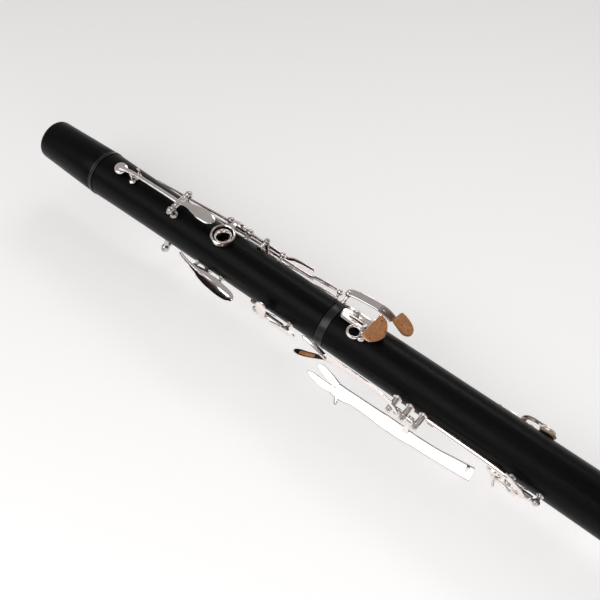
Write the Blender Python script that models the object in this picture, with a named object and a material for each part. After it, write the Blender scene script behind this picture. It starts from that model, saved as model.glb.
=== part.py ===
"""A Boehm-system clarinet without its mouthpiece, lying on its front keys with the thumb side up.

The bore runs along X from the barrel (low x) to the bell. Sizes are in millimetres and are turned
into metres when a mesh is made. Places on the body are given as (x, angle, radius): the angle runs
from the back of the body (+Z) towards the player's right hand side (+Y).
"""

import math

import bmesh
import bpy
from mathutils import Matrix, Vector

MM = 0.001

BARREL_END = 52.0
UPPER_END = 238.8
LOWER_END = 465.0
BELL_END = 570.5
BORE = 7.4
BELL_RIM = 39.0
TENON = 9.9
CORK_OUT = 10.9
SOCKET = 11.2
TENON_LENGTH = 16.0
GAP = 0.3

# Straight holes through the front wall under the fingers, and the thumb hole in the back
UPPER_FINGERS = (152.0, 176.0, 203.0)
LOWER_FINGERS = (262.0, 286.0, 310.0)
THUMB_X = 155.9
REGISTER_X = 68.6

# Hinge axes: x range between the posts, angle and distance from the bore
RING_RODS = (139.0, 18.5)
SIDE_PIVOT_X = 176.0
SIDE_PIVOT_Y = 17.8
SIDE_LEVERS = (5.6, 1.4, -2.8, -7.0)
THROAT_PIVOT = (110.0, -22.6)

# The frame's origin: middle of the outline, under the bell's rim
ORIGIN = Vector((-BELL_END / 2, 0.0, BELL_RIM))

for old in list(bpy.data.objects):
    bpy.data.objects.remove(old, do_unlink=True)

scene = bpy.context.scene.collection
root = bpy.data.objects.new("clarinet", None)
root.location = ORIGIN * MM
scene.objects.link(root)


def material(name, colour, roughness, metallic):
    mat = bpy.data.materials.new(name)
    mat.use_nodes = True
    shader = mat.node_tree.nodes["Principled BSDF"]
    shader.inputs["Base Color"].default_value = (*colour, 1.0)
    shader.inputs["Roughness"].default_value = roughness
    shader.inputs["Metallic"].default_value = metallic
    return mat


wood = material("black_wood", (0.018, 0.017, 0.018), 0.42, 0.0)
band = material("polished_band", (0.05, 0.05, 0.055), 0.2, 0.0)
silver = material("silver_plate", (0.86, 0.82, 0.80), 0.18, 1.0)
steel = material("steel_rod", (0.62, 0.61, 0.60), 0.3, 1.0)
cork = material("cork", (0.55, 0.31, 0.15), 0.85, 0.0)
skin = material("pad_skin", (0.80, 0.74, 0.62), 0.7, 0.0)


def polar(x, angle, radius):
    a = math.radians(angle)
    return Vector((x, radius * math.sin(a), radius * math.cos(a)))


def along(origin, direction):
    """A frame at origin whose Z runs along direction."""
    turn = Vector(direction).normalized().to_track_quat("Z", "Y")
    return Matrix.Translation(origin) @ turn.to_matrix().to_4x4()


def standing(x, angle, radius):
    """A frame on the body whose Z points straight out from the bore."""
    return along(polar(x, angle, radius), polar(0.0, angle, 1.0))


def turned(profile, frame, sides, closed):
    """Turn (height, radius) points about the frame's Z; closed joins the last point to the first."""
    bm = bmesh.new()
    verts = [bm.verts.new((radius, 0.0, height)) for height, radius in profile]
    edges = [bm.edges.new(pair) for pair in zip(verts, verts[1:])]
    if closed:
        edges.append(bm.edges.new((verts[-1], verts[0])))
    bmesh.ops.spin(
        bm,
        geom=verts + edges,
        cent=(0, 0, 0),
        axis=(0, 0, 1),
        angle=math.tau,
        steps=sides,
        use_merge=True,
        use_normal_flip=False,
    )
    bmesh.ops.remove_doubles(bm, verts=bm.verts[:], dist=1e-4)
    bmesh.ops.transform(bm, matrix=frame, verts=bm.verts[:])
    bmesh.ops.recalc_face_normals(bm, faces=bm.faces[:])
    return bm


def rod(start, end, radius, sides=6):
    length = (Vector(end) - Vector(start)).length
    profile = [(0, 0), (0, radius), (length, radius), (length, 0)]
    return turned(profile, along(start, Vector(end) - Vector(start)), sides, False)


def tube(start, end, outer, inner, sides=8):
    length = (Vector(end) - Vector(start)).length
    profile = [(0, inner), (0, outer), (length, outer), (length, inner)]
    return turned(profile, along(start, Vector(end) - Vector(start)), sides, True)


def ball(centre, radius):
    steps = [math.radians(a) for a in (-90, -45, 0, 45, 90)]
    profile = [(radius * math.sin(a), abs(radius * math.cos(a))) for a in steps]
    return turned(profile, along(centre, (0.31, centre[1] + 0.7, centre[2] - 0.4)), 7, False)


def annulus(frame, inner, outer, thick, sides=14):
    profile = [(0, inner), (0, outer), (thick, outer), (thick, inner)]
    return turned(profile, frame, sides, True)


def cup(x, angle, level, radius, height=3.4, sides=10):
    """A pad cup with its pad, domed on the outside."""
    profile = [
        (0, 0),
        (0, radius * 0.9),
        (1.2, radius * 0.9),
        (1.2, radius),
        (height * 0.75, radius * 0.96),
        (height, radius * 0.6),
        (height, 0),
    ]
    return turned(profile, standing(x, angle, level), sides, False)


def shell_cup(x, angle, level, radius, height=3.4, sides=12):
    """A pad cup that is hollow below, for a pad of its own."""
    profile = [
        (1.9, 0),
        (1.9, radius - 0.7),
        (0.6, radius - 0.7),
        (0.6, radius),
        (height * 0.75, radius * 0.96),
        (height, radius * 0.6),
        (height, 0),
    ]
    return turned(profile, standing(x, angle, level), sides, False)


def pad(x, angle, level, radius, sides=12):
    profile = [(0, 0), (0, radius - 1.4), (0.4, radius - 1.0), (1.6, radius - 1.0), (1.6, 0)]
    return turned(profile, standing(x, angle, level), sides, False)


def bar(stations, up=None):
    """A flat bar through (point, width, thickness) stations; up is its face, else straight out."""
    bm = bmesh.new()
    points = [Vector(point) for point, _, _ in stations]
    loops = []
    for i, (_, width, thick) in enumerate(stations):
        before, after = points[max(i - 1, 0)], points[min(i + 1, len(points) - 1)]
        run = (after - before).normalized()
        face = Vector(up) if up else Vector((0, points[i].y, points[i].z)).normalized()
        side = run.cross(face).normalized()
        face = side.cross(run).normalized()
        w, h = width / 2, thick / 2
        c = min(w, h) * 0.6
        ring = [(w, -h), (w, h - c), (w - c, h), (c - w, h), (-w, h - c), (-w, -h)]
        loops.append([bm.verts.new(points[i] + side * a + face * b) for a, b in ring])
    for one, two in zip(loops, loops[1:]):
        for k in range(6):
            bm.faces.new((one[k], one[(k + 1) % 6], two[(k + 1) % 6], two[k]))
    bm.faces.new(loops[0])
    bm.faces.new(loops[-1])
    bmesh.ops.recalc_face_normals(bm, faces=bm.faces[:])
    return bm


def curved(*stations, up=None):
    """A bar through (x, angle, radius, width, thickness) stations, following the body between them."""
    full = []
    for one, two in zip(stations, stations[1:]):
        steps = max(1, math.ceil(abs(two[1] - one[1]) / 22))
        for k in range(steps):
            t = k / steps
            full.append([a + (b - a) * t for a, b in zip(one, two)])
    full.append(list(stations[-1]))
    return bar([(polar(x, a, r), w, t) for x, a, r, w, t in full], up)


def post(x, angle, radius, body, size=2.4):
    """A ball post with its flared foot on the body's surface."""
    return [
        ball(polar(x, angle, radius), size),
        rod(polar(x, angle, body + GAP + 0.35), polar(x, angle, radius + size * 0.3), size * 0.55, 6),
        rod(polar(x, angle, body + GAP), polar(x, angle, body + GAP + 0.9), size * 0.95, 7),
    ]


def hinge_rod(near, far, place):
    """A lengthwise hinge rod that ends just past the balls of its posts."""
    return rod(polar(near - 0.7, *place), polar(far + 0.7, *place), 1.0)


def solid(name, pieces, mat, pivot=(0, 0, 0), cuts=(), flat=35.0):
    """Fuse closed pieces into one body, cut it, and stand it at its pivot under the root."""
    pieces = list(pieces)
    helpers = []

    def plain(bm, label):
        mesh = bpy.data.meshes.new(label)
        bm.to_mesh(mesh)
        bm.free()
        obj = bpy.data.objects.new(label, mesh)
        scene.objects.link(obj)
        helpers.append(obj)
        return obj

    base = plain(pieces[0], name + "_base")
    for operation, group in (("UNION", pieces[1:]), ("DIFFERENCE", list(cuts))):
        for bm in group:
            other = plain(bm, name + "_piece")
            other.hide_render = True
            cutter = base.modifiers.new(operation.lower(), "BOOLEAN")
            cutter.operation = operation
            cutter.solver = "EXACT"
            cutter.object = other
    bpy.context.view_layer.update()
    done = base.evaluated_get(bpy.context.evaluated_depsgraph_get())
    mesh = bpy.data.meshes.new_from_object(done)
    for obj in helpers:
        data = obj.data
        bpy.data.objects.remove(obj, do_unlink=True)
        bpy.data.meshes.remove(data)
    mesh.name = name
    mesh.transform(Matrix.Scale(MM, 4) @ Matrix.Translation(-Vector(pivot)))
    mesh.materials.clear()
    mesh.materials.append(mat)
    mesh.shade_smooth()
    mesh.set_sharp_from_angle(angle=math.radians(flat))
    obj = bpy.data.objects.new(name, mesh)
    scene.objects.link(obj)
    obj.parent = root
    obj.location = Vector(pivot) * MM
    return obj


def lengthwise(profile, sides=26):
    """Turn (x, radius) points about the bore into a closed wall."""
    return turned(profile, along((0, 0, 0), (1, 0, 0)), sides, True)


def hole(x, angle, radius, start=5.0, end=26.0, sides=8):
    return rod(polar(x, angle, start), polar(x, angle, end), radius, sides)


# Barrel, with a socket at each end
solid(
    "barrel",
    [
        lengthwise(
            [
                (0, SOCKET + 0.2), (0, 12.7), (0.9, 13.5), (2.2, 13.75), (25, 14.55), (48.4, 15.3),
                (48.4, 14.3), (BARREL_END - GAP, 14.3), (BARREL_END - GAP, SOCKET),
                (BARREL_END - TENON_LENGTH - 0.6, SOCKET), (BARREL_END - TENON_LENGTH - 0.6, BORE),
                (15.5, BORE), (15.5, SOCKET + 0.2),
            ]
        )
    ],
    wood,
)
solid("barrel_band", [lengthwise([(48.7, 14.6), (48.7, 15.4), (51.5, 15.55), (51.5, 14.6)])], band)

# Upper joint, with a tenon at each end and every tone hole
upper_holes = [hole(x, 180, 3.8) for x in UPPER_FINGERS]
upper_holes += [hole(THUMB_X, 0, 4.9), hole(REGISTER_X, 0, 2.1)]
upper_holes += [hole(84, 180, 3.0), hole(134, 194, 2.4), hole(82, 100, 2.4), hole(100, 112, 2.4)]
upper_holes += [hole(118, 124, 2.4), hole(135, 136, 2.4), hole(190, 215, 2.8), hole(162.6, 166, 2.4)]
upper_holes += [hole(216, 180, 2.8)]
solid(
    "upper_joint",
    [
        lengthwise(
            [
                (BARREL_END - TENON_LENGTH, BORE), (BARREL_END - TENON_LENGTH, TENON),
                (BARREL_END, TENON), (BARREL_END, 15.2), (70, 14.8), (110, 14.4), (UPPER_END, 14.3),
                (UPPER_END, TENON), (UPPER_END + TENON_LENGTH, TENON), (UPPER_END + TENON_LENGTH, BORE),
            ]
        )
    ]
    + [rod(polar(x, 180, 12.0), polar(x, 180, 16.0), 5.1, 10) for x in UPPER_FINGERS],
    wood,
    cuts=upper_holes,
)

# Lower joint, with a socket above, a tenon below and a seat for the middle band
lower_holes = [hole(x, 180, 4.0) for x in LOWER_FINGERS]
lower_holes += [hole(377, 77, 4.0), hole(366, 251, 4.0), hole(398, 159, 4.8), hole(428, 176, 5.2)]
solid(
    "lower_joint",
    [
        lengthwise(
            [
                (UPPER_END + GAP, SOCKET), (UPPER_END + GAP, 13.2), (245.0, 13.2), (245.0, 14.7),
                (300, 14.9), (400, 15.1), (440, 15.4), (LOWER_END, 16.4), (LOWER_END, TENON),
                (LOWER_END + TENON_LENGTH, TENON), (LOWER_END + TENON_LENGTH, BORE), (420, BORE),
                (UPPER_END + TENON_LENGTH + 0.6, BORE), (UPPER_END + TENON_LENGTH + 0.6, SOCKET),
            ]
        )
    ]
    + [rod(polar(x, 180, 12.5), polar(x, 180, 16.6), 5.4, 10) for x in LOWER_FINGERS],
    wood,
    cuts=lower_holes,
)
solid("middle_band", [lengthwise([(239.3, 13.5), (239.3, 14.8), (244.7, 14.9), (244.7, 13.5)])], band)

# Bell, flaring to its rim
flare = [(502, 17.1), (524, 20.6), (541, 25.8), (555, 31.8), (565, 36.8)]
inside = [(566.5, 34.6), (555, 29.2), (541, 23.2), (524, 18.0), (502, 14.4)]
solid(
    "bell",
    [
        lengthwise(
            [(LOWER_END + GAP, SOCKET), (LOWER_END + GAP, 16.6), (470, 16.6), (470, 18.2), (478, 17.6), (487, 16.4)]
            + flare
            + [(568.0, 38.4), (569.4, BELL_RIM), (BELL_END, 38.6), (BELL_END, 37.0)]
            + inside
            + [(LOWER_END + TENON_LENGTH + 0.6, 12.2), (LOWER_END + TENON_LENGTH + 0.6, SOCKET)],
            32,
        )
    ],
    wood,
)
solid("bell_band", [lengthwise([(465.6, 16.9), (465.6, 17.7), (469.7, 18.4), (469.7, 16.9)])], band)

for name, face, way in (("barrel", BARREL_END, -1), ("middle", UPPER_END, 1), ("bell", LOWER_END, 1)):
    near, far = sorted((face + way * 2.0, face + way * 14.0))
    ring = [(near, TENON + GAP), (near, CORK_OUT), (far, CORK_OUT), (far, TENON + GAP)]
    solid(name + "_cork", [lengthwise(ring, 24)], cork)

# Register key on the back, rocking across the body
solid("register_tube", [annulus(standing(REGISTER_X, 0, 9.0), 1.0, 1.7, 7.0, 12)], steel)
register_axis = (119.0, 0.0, 19.6)
solid(
    "register_mount",
    [rod((119, -7.9, 19.6), (119, 9.9, 19.6), 1.0)]
    + post(119, math.degrees(math.atan2(-7.2, 19.6)), math.hypot(7.2, 19.6), 14.5, 2.5)
    + post(119, math.degrees(math.atan2(9.2, 19.6)), math.hypot(9.2, 19.6), 14.5, 2.5),
    steel,
)
solid(
    "register_key",
    [
        tube((119, -4.3, 19.6), (119, 6.2, 19.6), 2.1, 1.35),
        bar([((117.4, 0.5, 20.2), 3.0, 1.5), ((112, 0.5, 20.3), 2.8, 1.8), ((84, 0.2, 20.0), 2.6, 1.8),
             ((75, -0.4, 19.6), 2.8, 1.6), ((69, -1.0, 19.4), 3.4, 1.4)], (0, 0, 1)),
        bar([((120.7, 0.8, 20.4), 3.0, 1.5), ((124.5, 1.4, 21.6), 3.4, 1.5), ((131, 1.6, 22.4), 6.0, 1.4),
             ((138, 1.4, 22.7), 9.0, 1.3), ((143, 1.3, 22.8), 8.6, 1.3), ((147.6, 1.3, 22.7), 4.4, 1.2)],
            (0, 0, 1)),
        turned([(1.5, 0), (1.5, 3.6), (0.4, 3.6), (0.4, 4.4), (2.2, 4.2), (2.9, 2.6), (2.9, 0)],
               standing(REGISTER_X, -2.5, 16.2), 16, False),
    ],
    silver,
    register_axis,
)
solid("register_pad", [turned([(0, 0), (0, 3.2), (1.2, 3.2), (1.2, 0)], standing(REGISTER_X, -2.5, 16.15), 14, False)],
      skin, register_axis)
solid(
    "register_guide",
    [
        bar([((80.8, -4.2, 15.9), 4.6, 1.4), ((80.8, 4.2, 15.9), 4.6, 1.4)], (0, 0, 1)),
        bar([((80.8, -3.2, 15.6), 2.6, 1.4), ((80.8, -3.2, 21.4), 2.2, 1.3)], (0, 1, 0)),
        bar([((80.8, 3.2, 15.6), 2.6, 1.4), ((80.8, 3.2, 21.4), 2.2, 1.3)], (0, 1, 0)),
        ball((80.8, -3.2, 21.4), 1.4),
        ball((80.8, 3.2, 21.4), 1.4),
    ],
    silver,
)

# Thumb bush and the ring key round it, hinged on the right of the back
solid(
    "thumb_tube",
    [turned([(8.2, 3.4), (8.2, 4.5), (14.7, 4.5), (14.7, 5.2), (17.0, 5.5), (17.0, 4.5), (14.0, 3.4)],
            along((THUMB_X, 0, 0), (0, 0, 1)), 20, True)],
    silver,
)
thumb_axis = polar(THUMB_X, 60, 19.0)
solid(
    "thumb_ring_mount",
    [hinge_rod(147.4, 163.2, (60, 19))] + post(147.4, 60, 19, 14.3) + post(163.2, 60, 19, 14.3),
    steel,
)
solid(
    "thumb_ring_key",
    [
        tube(polar(150.1, 60, 19), polar(160.5, 60, 19), 2.1, 1.35),
        annulus(along((THUMB_X, 0, 15.6), (0, 0, 1)), 6.4, 7.8, 3.0, 18),
        curved((155.6, 23, 19.0, 4.4, 1.3), (155.4, 36, 20.6, 4.0, 1.5), (155.2, 50, 21.4, 4.2, 1.5),
               (155.2, 60, 21.15, 4.2, 1.5)),
    ],
    silver,
    thumb_axis,
)

# Ring keys of the upper joint on one rod
ring_angle, ring_radius = RING_RODS
solid(
    "ring_mount",
    [hinge_rod(143.6, 215.8, RING_RODS)]
    + post(143.6, ring_angle, ring_radius, 14.35, 2.3)
    + post(165.4, ring_angle, ring_radius, 14.35, 2.3)
    + post(215.8, ring_angle, ring_radius, 14.35, 2.3),
    steel,
)


def ring(x, level=16.7, inner=6.0, outer=7.2):
    return annulus(along((x, 0, -level), (0, 0, -1)), inner, outer, 1.3, 16)


def ring_arm(x, side=0.0):
    return curved((x + side, ring_angle, ring_radius + 2.15, 3.6, 1.5), (x + side / 2, 149, 19.9, 3.6, 1.5),
                  (x, 158, 18.4, 3.6, 1.4))


solid(
    "first_ring_key",
    [
        tube(polar(146.2, *RING_RODS), polar(162.8, *RING_RODS), 2.0, 1.35),
        ring(152.0),
        ring_arm(152.0),
        curved((160.4, ring_angle, ring_radius + 2.15, 3.4, 1.5), (161.2, 150, 19.6, 3.4, 1.5),
               (162.6, 165, 18.2, 3.4, 1.5)),
        cup(162.6, 166, 15.4, 4.0, 3.0),
    ],
    silver,
    polar(152.0, *RING_RODS),
)
solid(
    "second_ring_key",
    [
        tube(polar(168.0, *RING_RODS), polar(213.2, *RING_RODS), 2.0, 1.35),
        ring(176.0),
        ring_arm(176.0, 6.6),
        ring(203.0),
        ring_arm(203.0),
        curved((210.6, ring_angle, ring_radius + 2.15, 3.4, 1.5), (213, 154, 19.8, 3.4, 1.5),
               (216, 174, 18.4, 3.4, 1.5)),
        cup(216, 176, 15.4, 4.6, 3.0),
        curved((211.4, 148.6, 20.3, 2.6, 1.1), (224, 158, 20.8, 3.0, 1.5), (245.5, 160, 21.0, 3.4, 1.5)),
    ],
    silver,
    polar(176.0, *RING_RODS),
)

# Throat A key across the front, and the G sharp key with its spoon on the left
throat_x, throat_z = THROAT_PIVOT
throat_angle = math.degrees(math.atan2(9.4, throat_z))
throat_out = math.hypot(9.4, throat_z)
solid(
    "throat_a_mount",
    [rod((throat_x, -10.1, throat_z), (throat_x, 10.1, throat_z), 1.0)]
    + post(throat_x, throat_angle, throat_out, 14.5, 2.9)
    + post(throat_x, -throat_angle, throat_out, 14.5, 2.9),
    steel,
)
solid(
    "throat_a_key",
    [
        tube((throat_x, -6.0, throat_z), (throat_x, 6.0, throat_z), 2.1, 1.35),
        bar([((108.4, 0, -22.6), 3.4, 1.5), ((100, 0, -21.6), 3.2, 1.6), ((90, 0, -19.8), 3.2, 1.6),
             ((84, 0, -18.9), 3.4, 1.4)], (0, 0, -1)),
        bar([((111.6, 0, -22.6), 3.4, 1.5), ((116, 0, -22.3), 5.0, 1.4), ((122, 0, -22.0), 7.2, 1.3),
             ((126.5, 0, -21.8), 6.4, 1.3), ((129.3, 0, -21.7), 3.6, 1.2)], (0, 0, -1)),
        cup(84, 180, 15.2, 4.9, 3.6),
    ],
    silver,
    (throat_x, 0, throat_z),
)
sharp_rod = (-106.0, 18.2)
solid(
    "throat_g_sharp_mount",
    [hinge_rod(145.6, 165.6, sharp_rod)]
    + post(145.6, *sharp_rod, 14.35, 2.1)
    + post(165.6, *sharp_rod, 14.35, 2.1),
    steel,
)
solid(
    "throat_g_sharp_key",
    [
        tube(polar(148.2, *sharp_rod), polar(163.0, *sharp_rod), 2.0, 1.35),
        bar([((137.0, -20.2, 5.2), 2.2, 1.4), ((144.0, -21.6, 3.4), 2.6, 1.5), ((151.0, -22.4, 2.0), 4.4, 1.5),
             ((158.0, -22.9, 1.0), 8.6, 1.4), ((166.0, -23.4, 0.2), 10.8, 1.3), ((174.0, -24.0, -0.4), 10.4, 1.3),
             ((180.0, -24.2, -0.8), 7.4, 1.3), ((183.0, -24.2, -1.0), 3.4, 1.2)], (0, 0.3, 0.95)),
        curved((156.4, -106, 20.35, 4.6, 1.5), (156.2, -97, 22.0, 4.6, 1.5), (156.4, -88, 23.2, 4.6, 1.5)),
        curved((151.6, -106, 20.35, 3.0, 1.5), (151.6, -122, 20.0, 3.0, 1.5), (149.5, -140, 18.6, 2.8, 1.5),
               (146.5, -152, 17.9, 2.8, 1.4), (141.0, -162, 17.9, 2.8, 1.4), (134.8, -165.5, 18.0, 3.0, 1.4)),
        cup(134, 194, 15.2, 3.6, 3.0),
    ],
    silver,
    polar(155.0, *sharp_rod),
)

# Four side keys, stacked like piano keys on one upright rod on the right
solid(
    "side_mount",
    [rod((SIDE_PIVOT_X, SIDE_PIVOT_Y, 9.6), (SIDE_PIVOT_X, SIDE_PIVOT_Y, -10.9), 0.8)]
    + [ball((SIDE_PIVOT_X, SIDE_PIVOT_Y, 9.9), 2.0), ball((SIDE_PIVOT_X, SIDE_PIVOT_Y, -10.6), 1.9)]
    + [rod((SIDE_PIVOT_X, 12.0, 9.9), (SIDE_PIVOT_X, SIDE_PIVOT_Y, 9.9), 1.2, 6)]
    + [rod((SIDE_PIVOT_X, 11.6, -10.6), (SIDE_PIVOT_X, SIDE_PIVOT_Y, -10.6), 1.0, 6)],
    steel,
)
side_pads = ((82.0, 100), (100.0, 112), (118.0, 124), (135.0, 136))
side_touches = ((196.0, 211.0), (213.0, 229.0), (196.0, 211.0), (213.0, 229.0))
side_names = ("side_key_1", "side_key_2", "side_key_3", "side_key_4")
for name, level, (pad_x, pad_angle), (near, far) in zip(side_names, SIDE_LEVERS, side_pads, side_touches):
    out = SIDE_PIVOT_Y
    pad_top = polar(pad_x, pad_angle, 18.0)
    bend = pad_top.z + 1.9
    reach = 1.2 if near > 200 else 0.6
    solid(
        name,
        [
            tube((SIDE_PIVOT_X, out, level + 1.9), (SIDE_PIVOT_X, out, level - 1.9), 1.8, 1.1),
            bar([((SIDE_PIVOT_X - 1.4, out + 0.5, level), 2.6, 1.3), ((SIDE_PIVOT_X - 8, out + 0.7, level), 2.3, 1.4),
                 ((pad_x + 12, out + 0.5, bend), 2.3, 1.4), ((pad_x + 4, out + 0.1, bend - 0.6), 2.4, 1.4),
                 ((pad_x - 0.5, pad_top.y + 0.6, pad_top.z + 0.4), 3.0, 1.3)], (0, 1, 0)),
            bar([((SIDE_PIVOT_X + 1.4, out + 0.5, level), 2.6, 1.3), ((near - 4, out + reach, level), 2.3, 1.4),
                 ((near, out + 2.2, level), 3.0, 1.4), (((near + far) / 2, out + 2.9, level), 3.8, 1.3),
                 ((far - 2, out + 3.1, level), 3.6, 1.3), ((far, out + 3.0, level), 2.6, 1.2)], (0, 1, 0)),
            cup(pad_x, pad_angle, 15.2, 3.6, 3.0),
        ],
        silver,
        (SIDE_PIVOT_X, out, level),
    )
for name, x in (("side_guide_1", 190.5), ("side_guide_2", 234.6)):
    solid(name, post(x, 57.5, 18.8, 14.3, 2.0), silver)

# C sharp key on the left
c_sharp_rod = (-100.0, 18.6)
solid(
    "c_sharp_mount",
    [hinge_rod(197.4, 220.6, c_sharp_rod)]
    + post(197.4, -100, 18.6, 14.3, 2.1)
    + post(220.6, -100, 18.6, 14.3, 2.1),
    steel,
)
solid(
    "c_sharp_key",
    [
        tube(polar(199.8, *c_sharp_rod), polar(218.2, *c_sharp_rod), 2.0, 1.35),
        curved((204, -100, 20.75, 4.0, 1.5), (203.4, -88, 21.0, 6.0, 1.4), (203, -76, 21.0, 8.4, 1.3),
               (203, -64, 21.0, 5.0, 1.2)),
        curved((211, -100, 20.75, 3.4, 1.5), (214, -92, 21.2, 3.4, 1.4), (224, -88, 21.4, 3.6, 1.3),
               (230, -86, 21.2, 1.8, 1.1)),
        curved((201.6, -100, 20.75, 3.2, 1.5), (200, -116, 20.2, 3.0, 1.5), (193, -136, 18.9, 3.0, 1.5),
               (190, -145, 18.2, 3.2, 1.4)),
        cup(190, 215, 15.2, 4.4, 3.2),
    ],
    silver,
    polar(208.0, *c_sharp_rod),
)

# Thumb rest on the back of the lower joint, with its strap ring and the side rest arm
TONGUE = (((265.9, 1.7, 21.4), 17.6), ((269.2, 1.6, 19.7), 17.4), ((272.6, 1.6, 18.0), 13.6), ((275.0, 1.6, 16.9), 7.6))
TONGUE_FACE = Vector((0.53, 0.1, 0.84)).normalized()
solid(
    "thumb_rest_plate",
    [
        bar([((246.6, 3.4, 16.0), 7.0, 1.3), ((250, 3.4, 16.1), 10.6, 1.5), ((262, 3.4, 16.1), 10.6, 1.5),
             ((265.4, 3.4, 16.1), 7.0, 1.3)], (0, 0.2, 0.98)),
        bar([((249, 0.4, 17.3), 1.6, 1.8), ((263, 0.4, 17.3), 1.6, 1.8)], (0, 0.2, 0.98)),
        bar([((249, 7.4, 15.9), 1.6, 1.8), ((263, 7.4, 15.9), 1.6, 1.8)], (0, 0.2, 0.98)),
    ],
    silver,
)
solid(
    "thumb_rest_hook",
    [
        bar([((251, 4.0, 18.0), 4.2, 1.4), ((260, 4.0, 18.2), 4.2, 1.6), ((264, 3.6, 19.5), 5.6, 1.6),
             ((266.6, 1.9, 20.6), 10.0, 1.4)], (0, 0.2, 0.98)),
        bar([(Vector(point), width, 1.2) for point, width in TONGUE], TONGUE_FACE),
    ],
    silver,
)
solid(
    "thumb_rest_cork",
    [
        bar([(Vector(point) + TONGUE_FACE * 2.0, width + 1.2, 2.0) for point, width in TONGUE], TONGUE_FACE),
    ],
    cork,
)
solid("thumb_rest_screw", [rod((255, 4.2, 19.5), (255, 4.4, 22.0), 2.0, 12), rod((255, 4.4, 22.0), (255, 4.4, 22.8), 1.4, 12)], steel)
solid(
    "strap_ring",
    [
        turned([(-0.8, 3.15), (-0.8, 4.7), (0.8, 4.7), (0.8, 3.15)], along((261.4, -6.4, 19.6), (0, 0, 1)), 16, True),
        rod((265.5, -4.8, 15.9), (265.4, -5.2, 19.9), 1.2, 6),
        rod((265.6, -4.8, 15.5), (265.6, -4.8, 16.5), 2.2, 8),
    ],
    silver,
)
solid(
    "side_rest_arm",
    post(240.6, 51, 21.0, 15.0, 2.2)
    + [
        bar([((239.0, 16.6, 13.2), 3.4, 1.8), ((243, 17.2, 14.6), 4.8, 1.7), ((251, 18.2, 15.4), 5.2, 1.6),
             ((260, 19.0, 15.2), 5.2, 1.6), ((266, 19.3, 13.8), 5.2, 1.6), ((271.2, 19.0, 11.4), 5.0, 1.5)],
            (0, -0.25, 0.97)),
    ]
    + [rod(polar(264, 55, 15.6), polar(264, 55, 24.2), 1.3, 6), rod(polar(264, 55, 15.2), polar(264, 55, 16.1), 2.4, 8)],
    silver,
)
solid(
    "side_rest_cork",
    [
        bar([((272.4, 20.4, 14.6), 9.6, 1.9), ((276.6, 20.0, 12.6), 10.2, 2.4), ((280.6, 19.2, 10.4), 9.0, 2.6),
             ((284.0, 18.2, 8.6), 6.0, 2.2)], (0.35, 0.2, 0.92)),
    ],
    cork,
)

# Ring key of the lower joint
lower_ring_rod = (135.0, 19.0)
solid(
    "lower_ring_mount",
    [hinge_rod(252.4, 306.0, lower_ring_rod)]
    + post(252.4, 135, 19.0, 14.75, 2.3)
    + post(306.0, 135, 19.0, 14.95, 2.3),
    steel,
)


def lower_arm(x, start):
    return curved((start, 135, 21.15, 3.6, 1.5), ((x + start) / 2, 147, 20.6, 3.6, 1.5), (x, 158, 19.0, 3.6, 1.4))


solid(
    "lower_ring_key",
    [
        tube(polar(255.0, *lower_ring_rod), polar(303.4, *lower_ring_rod), 2.0, 1.35),
        ring(262.0, 17.3, 6.3, 7.5),
        lower_arm(262.0, 262.0),
        ring(286.0, 17.3, 6.3, 7.5),
        lower_arm(286.0, 286.0),
        ring(310.0, 17.3, 6.3, 7.5),
        lower_arm(307.0, 300.0),
        curved((257.4, 135, 21.15, 3.0, 1.5), (254, 148, 20.2, 3.0, 1.4), (248, 160, 18.4, 4.0, 1.3)),
    ],
    silver,
    polar(286.0, *lower_ring_rod),
)

# Left little-finger levers on a row of three posts
lever_posts = (300.4, 309.2, 318.0)
lever_rod = (-90.0, 22.0)
tall_posts = [rod(polar(lever_posts[0] - 0.6, *lever_rod), polar(lever_posts[2] + 0.6, *lever_rod), 0.8)]
for x in lever_posts:
    tall_posts += [
        rod(polar(x, -90, 15.6), polar(x, -90, 24.4), 1.95, 10),
        rod(polar(x, -90, 15.3), polar(x, -90, 16.1), 2.9, 9),
        ball(polar(x, -90, 24.2), 2.05),
    ]
solid("left_lever_mount", tall_posts, silver)
solid(
    "left_lever_inner",
    [
        tube(polar(302.8, *lever_rod), polar(306.8, *lever_rod), 1.8, 1.1),
        bar([((304.8, -24.0, -0.6), 2.6, 1.5), ((304.6, -24.0, 2.6), 2.6, 1.5), ((300, -23.0, 5.2), 2.8, 1.6), ((288, -21.6, 5.0), 3.0, 1.6),
             ((272, -20.6, 3.6), 3.2, 1.6), ((262, -21.0, 3.2), 3.6, 1.6), ((252, -21.4, 2.6), 4.2, 1.6)],
            (0, -1, 0.25)),
        bar([((253, -21.4, 2.8), 3.4, 1.5), ((246, -21.3, 5.4), 3.8, 1.4), ((239, -21.2, 7.2), 2.8, 1.3),
             ((236, -21.1, 7.6), 1.6, 1.2)], (0, 0.3, 0.95)),
        bar([((253, -21.6, 1.8), 3.4, 1.5), ((245, -23.2, -2.4), 5.4, 1.5), ((238, -24.2, -5.2), 5.8, 1.4),
             ((232.6, -24.6, -6.6), 3.0, 1.3)], (0, 0.3, 0.95)),
    ],
    silver,
    polar(304.8, *lever_rod),
)
blade = (0, -0.56, 0.83)
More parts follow.
